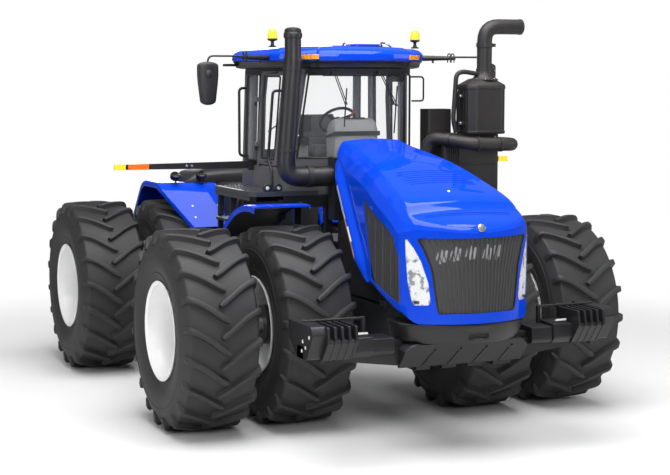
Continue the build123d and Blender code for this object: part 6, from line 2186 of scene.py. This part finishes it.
class TRACTOR_OT_snorkel(bpy.types.Operator):
    """Make the air intake pipe beside the windscreen"""

    bl_idname = "tractor.snorkel"
    bl_label = "Air intake"

    def execute(self, context):
        shape = Shape("air_intake")
        foot, top = Vector((-0.925, aft(0.395), 2.56)), Vector((-0.826, aft(0.4), 3.8))
        shape.tube([(-0.4, aft(0.355), 2.56), foot, top], 0.112, BLACK, 0.17, 40, 0.097)
        run = (top - foot).normalized()
        shape.turned([(0, 0.1), (0.02, 0.1), (0.06, 0.09), (0.25, 0.088), (0.252, 0.097), (0.275, 0.101),
                      (0.3, 0.099), (0.315, 0.09), (0.325, 0.092), (0.345, 0.086), (0.362, 0.06),
                      (0.368, 0.0)], top - run * 0.01, (0, 0, 1), BLACK, 40)
        for t in (0.23, 0.93):
            shape.band(foot + (top - foot) * t, run, 0.094, 0.106 - 0.003 * t, 0.016, EXHAUST, 40)
        shape.band((-0.66, aft(0.372), 2.56), (1, 0, 0), 0.104, 0.12, 0.03, EXHAUST, 40)
        shape.rod((-0.84, aft(0.43), 3.3), (-0.735, aft(0.8), 3.3), 0.016, BLACK, 12)
        shape.done(sharp=38, replaces=["intake_snorkel"])
        return {"FINISHED"}


class TRACTOR_OT_front_fenders(bpy.types.Operator):
    """Make the arched front fenders with their rolled edges"""

    bl_idname = "tractor.front_fenders"
    bl_label = "Front fenders"

    def execute(self, context):
        settings = context.scene.tractor_details
        for name, side in SIDES:
            shape = Shape(name + "_front_fender")
            section = [(0.85, 1.225), (0.85, 1.258), (0.866, 1.262), (1.464, 1.262), (1.486, 1.252),
                       (1.49, 1.232), (1.49, 1.19), (1.482, 1.19), (1.48, 1.236), (1.46, 1.246),
                       (0.875, 1.246), (0.862, 1.225)]
            # A thin black sheet just under the arch, lofted as lining below: painted shade under the fender.
            liner = [(0.868, 1.222), (0.868, 1.2455), (1.476, 1.2455), (1.478, 1.195), (1.474, 1.195),
                     (1.47, 1.24), (0.874, 1.24), (0.872, 1.222)]
            rings, lining = [], []
            for k in range(settings.arch_steps + 1):
                angle = math.radians(16 + 81 * k / settings.arch_steps)
                for made, points in ((rings, section), (lining, liner)):
                    made.append([(side * x, aft(r * math.cos(angle)), AXLE_HEIGHT + r * math.sin(angle))
                                 for x, r in points])
            shape.loft(rings, BLUE)
            # The black sheet under the arch is painted shade.
            shape.loft(lining, BLACK)
            x0, x1 = mirrored(side, 0.85, 0.91)
            shape.box((x0, aft(0.64), 2.08), (x1, aft(0.56), 2.3), DARK)
            for k in range(4):
                angle = math.radians(30 + 20 * k)
                shape.bolt((side * 0.9, aft(1.264 * math.cos(angle)), AXLE_HEIGHT + 1.264 * math.sin(angle)),
                           (0, math.cos(angle), math.sin(angle)), 0.012, BLACK)
            shape.done(sharp=50, replaces=["front_fenders"])
        return {"FINISHED"}


class TRACTOR_OT_access(bpy.types.Operator):
    """Make the platforms, the ladder and the handrails"""

    bl_idname = "tractor.access"
    bl_label = "Platforms and ladder"

    def execute(self, context):
        self.platforms()
        self.ladder()
        self.handrails()
        return {"FINISHED"}

    def platforms(self):
        shape = Shape("platform_plates")
        right = [(-0.48, 0.545), (-1.19, 0.56), (-1.25, 0.64), (-1.25, 1.75), (-0.83, 1.75), (-0.48, 0.9)]
        left = oblong(0.83, 0.8, 1.17, 1.75)
        for outline in (right, left):
            shape.prism([(x, aft(d)) for x, d in outline], 2.34, 2.392, "z", GREY)
        for row in range(15):
            for column in range(6):
                for x0, x1 in ((-1.21, -0.86), (0.86, 1.14)):
                    x = x0 + (x1 - x0) * (column + 0.5) / 6
                    turn = 0.6 if (row + column) % 2 else -0.6
                    reach = Vector((math.cos(turn), math.sin(turn), 0)) * 0.018
                    at = Vector((x, aft(0.86 + 0.06 * row), 2.393))
                    shape.rod(at - reach, at + reach, 0.0045, GREY, 6)
        shape.prism(oblong(-1.25, aft(0.64), -1.235, aft(1.75)), 2.295, 2.345, "z",
                    GREY)
        for x, d in ((-0.93, 0.62), (-1.06, 0.62)):
            shape.turned([(0, 0.03), (0.03, 0.044), (0.05, 0.046), (0.055, 0.04)], (x, aft(d), 2.425),
                         (0, -1, 0.1), BLACK, 24)
            shape.turned([(0, 0.0), (0.006, 0.01), (0.002, 0.02)], (x, aft(d - 0.054), 2.431), (0, -1, 0.1),
                         "lamp_reflector", 24)
            shape.turned([(0, 0.0), (0.001, 0.036)], (x, aft(d - 0.05), 2.43), (0, -1, 0.1), BLACK, 24)
            shape.rod((x, aft(d), 2.385), (x, aft(d), 2.43), 0.01, BLACK, 10)
        shape.done(bevel=0.004, replaces=["platforms"])

    def ladder(self):
        shape = Shape("access_ladder")
        for d in (1.25, 1.65):
            y0, y1 = sorted((aft(d - 0.02), aft(d + 0.02)))
            shape.prism(rounded(oblong(y0, 0.5, y1, 2.3), 0.012), -1.25, -1.19, "x", DARK)
        for k in range(6):
            z = 0.52 + 0.3 * k
            front, back = sorted((aft(1.27), aft(1.63)))
            shape.prism(rounded(oblong(-1.29, front, -1.14, back), 0.012), z, z + 0.028, "z",
                        DARK)
            for tooth in range(11):
                y = front + 0.02 + (back - front - 0.04) * tooth / 10
                for x in (-1.275, -1.215, -1.155):
                    shape.loft([[(x - 0.008, y - 0.01, z + 0.028), (x + 0.008, y - 0.01, z + 0.028),
                                 (x + 0.008, y + 0.01, z + 0.028), (x - 0.008, y + 0.01, z + 0.028)],
                                [(x - 0.003, y - 0.004, z + 0.036), (x + 0.003, y - 0.004, z + 0.036),
                                 (x + 0.003, y + 0.004, z + 0.036), (x - 0.003, y + 0.004, z + 0.036)]],
                               STEEL)
            for y in (front - 0.012, back + 0.012):
                shape.bolt((-1.252, y, z + 0.014), (-1, 0, 0), 0.012, STEEL)
        shape.done(bevel=0.003, replaces=["ladder"])

    def handrails(self):
        shape = Shape("grab_rails")
        for path in (((-0.8, 1.88, 2.72), (-0.905, 1.88, 2.72), (-0.905, 1.88, 3.5), (-0.78, 1.88, 3.5)),
                     ((-0.66, 0.7, 3.48), (-0.985, 0.59, 3.48), (-0.985, 0.74, 2.74), (-0.985, 0.625, 2.6),
                      (-0.985, 0.625, 2.4))):
            shape.tube([(x, aft(d), z) for x, d, z in path], 0.0155, BLACK, 0.05, 16)
            x, d, z = path[-1]
            if z < 2.5:
                shape.turned([(0, 0.036), (0.01, 0.036), (0.014, 0.018)], (x, aft(d), z - 0.004), (0, 0, 1),
                             BLACK, 20)
        shape.done(sharp=45, replaces=["handrails"])


class TRACTOR_OT_bumper(bpy.types.Operator):
    """Make the bumper boxes and the weight plate under the nose"""

    bl_idname = "tractor.bumper"
    bl_label = "Bumper and weights"

    def execute(self, context):
        for name, side in SIDES:
            self.box(side, name, context.scene.tractor_details)
        self.weights()
        return {"FINISHED"}

    def box(self, side, name, settings):
        shape = Shape(name + "_bumper_box")

        def slab(x0, x1, outline, radius, color):
            shape.prism(rounded([(aft(d), z) for d, z in outline], radius, 3), *mirrored(side, x0, x1), "x",
                        color)

        slab(0.38, 1.64, [(-1.87, 1.0), (-1.87, 1.12), (-1.72, 1.12), (-1.72, 1.0)], 0.01, BLACK)
        shape.prism([(side * 0.6, 0.865), (side * 0.6, 1.05), (side * 1.5, 1.1), (side * 1.5, 0.995),
                     (side * 1.16, 0.94)], aft(-1.905), aft(-1.88), "y", BLACK)
        slab(0.75, 0.98, [(-1.965, 1.0), (-2.0, 1.03), (-1.985, 1.165), (-1.72, 1.17), (-1.72, 1.0)], 0.015,
             BLACK)
        slab(0.985, 1.2, [(-1.975, 0.995), (-2.03, 1.05), (-2.01, 1.19), (-1.72, 1.2), (-1.72, 0.995)], 0.015,
             BLACK)
        slab(1.2, 1.5, [(-2.004, 0.995), (-2.135, 1.165), (-2.13, 1.195), (-2.03, 1.21), (-2.03, 1.295),
                          (-1.72, 1.295), (-1.72, 0.995)], 0.01, BLACK)
        fins = settings.bumper_fins
        for k in range(fins):
            x = 1.205 + 0.285 * k / (fins - 1)
            slab(x - 0.012, x + 0.012, [(-2.006, 0.99), (-2.15, 1.178), (-2.12, 1.325), (-1.72, 1.325),
                                        (-1.72, 0.99)], 0.012, BLACK)
        slab(1.503, 1.64, [(-1.96, 1.0), (-2.11, 1.25), (-2.06, 1.33), (-1.5, 1.33), (-1.5, 1.18),
                           (-1.72, 1.0)], 0.02, BLACK)
        face = 1.64
        for d, z in ((-2.02, 1.225), (-1.93, 1.115), (-1.86, 1.165), (-1.84, 1.075)):
            shape.turned([(0, 0.0), (0.002, 0.016), (0.0, 0.019)], (side * face, aft(d), z), (side, 0, 0),
                         "white_stripe", 20)
        shape.rod((side * 0.95, aft(-1.74), 1.335), (side * 1.6, aft(-1.74), 1.335), 0.012, EXHAUST, 10)
        for k in range(9):
            shape.bolt((side * (0.98 + 0.075 * k), aft(-1.74), 1.335), (0, -0.4, 1), 0.014, EXHAUST)
        x0, x1 = mirrored(side, 0.95, 0.985)
        shape.box((x0, aft(-1.72), 1.1), (x1, aft(-1.76), 1.335), BLACK)
        shape.prism([(side * 1.02, 1.215), (side * 1.14, 1.215), (side * 1.15, 1.235), (side * 1.03, 1.235)],
                    aft(-1.985), aft(-1.98), "y", "white_stripe")
        shape.done(bevel=0.005, replaces=["bumper_boxes"])

    def weights(self):
        shape = Shape("weight_plate")
        rings = [[(x, aft(d), z)
                  for d, z in ( (-1.885, 0.85), (-1.915 - out * 0.2, 0.85), (-2.07 - out, top - 0.03),
                               (-2.078 - out, top - 0.012), (-2.066 - out, top), (-1.885, top))]
                 for x, top, out in ((-0.667, 1.03, -0.03), (-0.61, 1.085, -0.008), (-0.56, 1.1, 0.0),
                                     (0.56, 1.1, 0.0), (0.61, 1.085, -0.008), (0.667, 1.03, -0.03))]
        shape.loft(rings, BLACK)
        for k in range(4):
            x = -0.42 + 0.28 * k
            shape.loft([[(x - 0.012, aft(-1.905), 0.852), (x + 0.012, aft(-1.905), 0.852),
                         (x + 0.012, aft(-1.925), 0.852), (x - 0.012, aft(-1.925), 0.852)],
                        [(x + 0.055, aft(-2.005), 0.99), (x + 0.075, aft(-2.005), 0.99),
                         (x + 0.075, aft(-2.022), 0.99), (x + 0.055, aft(-2.022), 0.99)]], BLACK)
            shape.bolt((x + 0.082, aft(-2.035), 1.02), (0, -0.82, -0.52), 0.013, BLACK)
            shape.box((x - 0.075, aft(-1.885), 0.815), (x + 0.095, aft(-1.9), 0.852), BLACK)
            shape.box((x - 0.075, aft(-1.7), 0.812), (x - 0.055, aft(-1.9), 0.852), BLACK)
        shape.done(bevel=0.005, replaces=["front_weights"])


class TRACTOR_OT_marker_bars(bpy.types.Operator):
    """Make the long width-marker bars behind the cab"""

    bl_idname = "tractor.marker_bars"
    bl_label = "Marker bars"

    def execute(self, context):
        shape = Shape("width_markers")
        for side in (-1, 1):
            stops = [(0.82, 2.59, 2.675), (2.08, 2.602, 2.664), (2.48, 2.606, 2.66)]
            for x0, x1, color, grow in ((0.82, 2.08, BLACK, 0.0), (2.08, 2.32, "orange_plastic", 0.002),
                                        (2.32, 2.35, BLACK, 0.0), (2.35, 2.478, "beacon_yellow", 0.004)):
                rings = []
                for x in (x0, x1):
                    low = straight_between([(stop[0], stop[1]) for stop in stops], x) - grow
                    high = straight_between([(stop[0], stop[2]) for stop in stops], x) + grow
                    rings.append([(side * x, aft(d), z)
                                  for d, z in ((1.587 - grow, low), (1.613 + grow, low), (1.613 + grow, high),
                                               (1.587 - grow, high))])
                shape.loft(rings, color)
            x0, x1 = mirrored(side, 0.82, 0.9)
            shape.box((x0, aft(1.63), 2.57), (x1, aft(1.57), 2.69), BLACK)
            for x in (0.86, 1.58, 1.64):
                shape.bolt((side * x, aft(1.584), 2.632), (0, -1, 0), 0.012, STEEL)
        shape.done(bevel=0.003, replaces=["marker_bars"])
        return {"FINISHED"}


# ---------------------------------------------------------------- rear unit


def astern(distance):
    """The y of a place this far behind the rear axle."""
    return REAR_Y + distance


class TRACTOR_OT_rear_fenders(bpy.types.Operator):
    """Make the folded rear fenders with the lamps that stand on them"""

    bl_idname = "tractor.rear_fenders"
    bl_label = "Rear fenders and lamps"

    def execute(self, context):
        for name, side in SIDES:
            self.fender(side, name)
            self.lamps(side, name)
        return {"FINISHED"}

    def fender(self, side, name):
        shape = Shape(name + "_rear_fender", "rear_unit")
        path = rounded_path([(-0.842, 1.78), (-0.362, 2.295), (0.4, 2.295), (0.9, 1.75)], 0.16, 10)
        rings = []
        for k, (r, z) in enumerate(path):
            before, after = path[max(0, k - 1)], path[min(len(path) - 1, k + 1)]
            run = Vector((after[0] - before[0], after[1] - before[1])).normalized()
            out = (-run.y, run.x)
            edge = 1.37 - 0.3 * min(1.0, max(0.0, (-0.36 - r) / 0.48)) ** 1.4
            section = [(0.62, -0.05), (0.62, 0.0), (0.632, 0.014), (edge - 0.025, 0.014),
                       (edge - 0.006, 0.006), (edge, -0.012), (edge, -0.055), (edge - 0.01, -0.055),
                       (edge - 0.012, -0.014), (edge - 0.03, -0.004), (0.645, -0.004), (0.63, -0.05)]
            rings.append([(side * x, astern(r + out[0] * h), z + out[1] * h) for x, h in section])
        shape.loft(rings, BLUE)
        for r, z in ((-0.62, 2.03), (-0.74, 1.9), (0.66, 2.025)):
            along = Vector((0, -0.73, 0.68)) if r < 0 else Vector((0, 0.74, 0.67))
            shape.bolt((side * 0.69, astern(r), z - 0.002), along, 0.014, STEEL)
            shape.bolt((side * 1.02, astern(r), z - 0.002), along, 0.014, STEEL)
        inner = mirrored(side, 0.605, 0.622)
        shape.prism([(astern(-0.3), 2.29), (astern(0.34), 2.29), (astern(0.52), 2.0), (astern(-0.48), 2.02)],
                    *inner, "x", BLUE)
        shape.done(sharp=40, replaces=["rear_fenders"])

    def lamps(self, side, name):
        shape = Shape(name + "_work_lamps", "rear_unit")
        for x in (0.81, 1.15):
            centre = Vector((side * x, astern(-0.355), 2.302))
            shape.turned([(0, 0.024), (0.008, 0.024), (0.012, 0.011), (0.06, 0.011), (0.066, 0.026)], centre,
                         (0, 0, 1), BLACK, 24)
            shape.turned([(0, 0.02), (0.012, 0.048), (0.028, 0.066), (0.04, 0.068), (0.05, 0.06),
                          (0.058, 0.035), (0.06, 0.0)], centre + Vector((0, 0, 0.062)), (0, -0.25, 1), BLACK,
                         32)
            shape.turned([(0, 0.0), (0.006, 0.03), (0.004, 0.052)], centre + Vector((0, 0.05, 0.088)),
                         (0, 1, 0.1), "lamp_glass", 24)
            shape.turned([(-0.02, 0.062), (0.004, 0.058), (0.004, 0.05), (-0.004, 0.048)],
                         centre + Vector((0, 0.048, 0.088)), (0, 1, 0.1), BLACK, 24)
        shape.done(sharp=40, replaces=["work_lamps"])
        tail = Shape(name + "_tail_lamp", "rear_unit")
        x0, x1 = mirrored(side, 1.0, 1.18)
        tail.box((x0, astern(0.78), 1.9), (x1, astern(0.93), 1.99), BLACK)
        tail.prism(rounded(oblong(x0 + 0.01, 1.908, x1 - 0.01, 1.982), 0.02),
                   astern(0.925), astern(0.958), "y", "red_plastic")
        x0, x1 = mirrored(side, 1.125, 1.17)
        tail.box((x0, astern(0.95), 1.915), (x1, astern(0.961), 1.975), "amber_plastic")
        tail.done(bevel=0.004, replaces=["tail_lamps"], slot="red_plastic")


class TRACTOR_OT_tank(bpy.types.Operator):
    """Make the fuel tank, its cover and the remote couplers"""

    bl_idname = "tractor.tank"
    bl_label = "Fuel tank and couplers"

    def execute(self, context):
        low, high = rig.box("fuel_tank")
        shape = Shape("tank_shell", "rear_unit")
        middle = 1.8
        outline = rounded(oblong(low.x, low.z, high.x, high.z), 0.1, 6)
        rings = [[(x * (1 - inset / 0.62), y, (z - middle) * (1 - inset / 0.5) + middle) for x, z in outline]
                 for y, inset in ((low.y, 0.05), (low.y + 0.012, 0.022), (low.y + 0.05, 0.0),
                                  (high.y - 0.05, 0.0), (high.y - 0.012, 0.022), (high.y, 0.05))]
        shape.loft(rings, DARK)
        for y in (low.y + 0.3, high.y - 0.3):
            ring = [[(x * grow, y + offset, (z - middle) * grow + middle) for x, z in outline]
                    for offset, grow in ((-0.03, 0.999), (-0.028, 1.012), (0.028, 1.012), (0.03, 0.999))]
            shape.loft(ring, EXHAUST)
        shape.turned([(0, 0.09), (0.02, 0.09), (0.03, 0.075), (0.06, 0.075), (0.065, 0.06), (0.068, 0)],
                     (-0.618, astern(-0.5), 1.98), (-1, 0, 0.35), BLACK, 32)
        shape.done(sharp=35, replaces=["fuel_tank"])
        self.cover()
        self.couplers()
        return {"FINISHED"}

    def cover(self):
        low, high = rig.box("tank_cover")
        shape = Shape("rear_hood", "rear_unit")
        rings = []
        for k in range(17):
            t = -1 + k / 8
            bulge = (1 - abs(t) ** 3.2) ** 0.45 if abs(t) < 1 else 0.0
            x = high.x * t
            top = low.z + 0.02 + (high.z - low.z - 0.02) * bulge
            front, back = low.y + 0.03 * (1 - bulge), high.y - 0.03 * (1 - bulge)
            rings.append([(x, y, z) for y, z in (
                (front, low.z), (front, low.z + (top - low.z) * 0.45),
                (front + 0.04, low.z + (top - low.z) * 0.8), (front + 0.12, low.z + (top - low.z) * 0.96),
                ((front + back) / 2, top), (back - 0.12, low.z + (top - low.z) * 0.96),
                (back - 0.04, low.z + (top - low.z) * 0.8), (back, low.z + (top - low.z) * 0.45),
                (back, low.z))])
        shape.loft(rings, BLACK)
        for side in (-1, 1):
            for k in range(6):
                y = low.y + 0.14 + 0.07 * k
                x0, x1 = mirrored(side, 0.3, 0.7)
                shape.box((x0, y, high.z - 0.022), (x1, y + 0.02, high.z - 0.004), BLACK)
        shape.done(sharp=50, replaces=["tank_cover"])
        hoses = Shape("rear_hoses", "rear_unit")
        for k in range(3):
            x = -0.52 + 0.07 * k
            hoses.tube([(x, astern(-0.8), 1.7), (x - 0.1, astern(-0.93), 1.8 + 0.05 * k),
                        (x - 0.1, astern(-0.96), 2.05 + 0.05 * k), (x, astern(-0.86), 2.2),
                        (x + 0.02, astern(-0.72), 2.24)], 0.014, BLACK, 0.06, 12)
        hoses.done(sharp=45)

    def couplers(self):
        shape = Shape("coupler_block", "rear_unit")
        shape.prism(rounded(oblong(-0.21, 1.01, 0.21, 1.24), 0.02), astern(0.76), astern(0.85),
                    "y", DARK)
        for row in range(2):
            for column in range(4):
                at = (-0.15 + 0.1 * column, astern(0.85), 1.07 + 0.11 * row)
                shape.turned([(0, 0.03), (0.012, 0.03), (0.014, 0.022), (0.045, 0.022), (0.048, 0.016),
                              (0.058, 0.016), (0.056, 0.009), (0.03, 0.0)], at, (0, 1, 0), STEEL, 24)
                shape.turned([(0.016, 0.0225), (0.016, 0.0265), (0.03, 0.0265), (0.03, 0.0225)], at,
                             (0, 1, 0), ("red_plastic", BLUE, "orange_plastic", "white_paint")[column], 24,
                             closed=True)
        shape.done(bevel=0.003, replaces=["remote_couplers"])


# ---------------------------------------------------------------- add-on


class TRACTOR_PT_panel(bpy.types.Panel):
    """Lists the settings and the steps, in the order in which they run"""

    bl_idname = "TRACTOR_PT_panel"
    bl_label = "Articulated tractor"
    bl_space_type = "VIEW_3D"
    bl_region_type = "UI"
    bl_category = "Tractor"

    def draw(self, context):
        for name, group in SETTINGS.items():
            settings = getattr(context.scene, name)
            box = self.layout.box()
            box.label(text=group.__doc__.strip("."))
            for key in group.__annotations__:
                box.prop(settings, key)
        for operator in OPERATORS:
            self.layout.operator(operator.bl_idname)


SETTINGS = {
    "tractor_finishes": FinishSettings,
    "tractor_tyres": TyreSettings,
    "tractor_hood": HoodSettings,
    "tractor_cab": CabSettings,
    "tractor_details": DetailSettings,
    "tractor_stage": StageSettings,
}

OPERATORS = [item for name, item in list(globals().items()) if name.startswith("TRACTOR_OT_")]


def register():
    for group in (*SETTINGS.values(), *OPERATORS, TRACTOR_PT_panel):
        bpy.utils.register_class(group)
    for name, group in SETTINGS.items():
        setattr(bpy.types.Scene, name, bpy.props.PointerProperty(type=group))


def unregister():
    for name in SETTINGS:
        delattr(bpy.types.Scene, name)
    for group in (TRACTOR_PT_panel, *reversed(OPERATORS), *SETTINGS.values()):
        bpy.utils.unregister_class(group)


def main():
    """Builds everything and records the size of the CAD model and of the visible one."""
    register()
    for operator in OPERATORS:
        getattr(bpy.ops.tractor, operator.bl_idname.split(".")[1])()
    bpy.context.view_layer.update()
    with open("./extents.json", "w") as file:
        json.dump({"cad": [list(corner) for corner in CAD_BOX],
                   "visual": [list(corner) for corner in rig.bounds()]}, file)


if __name__ == "__main__":
    main()
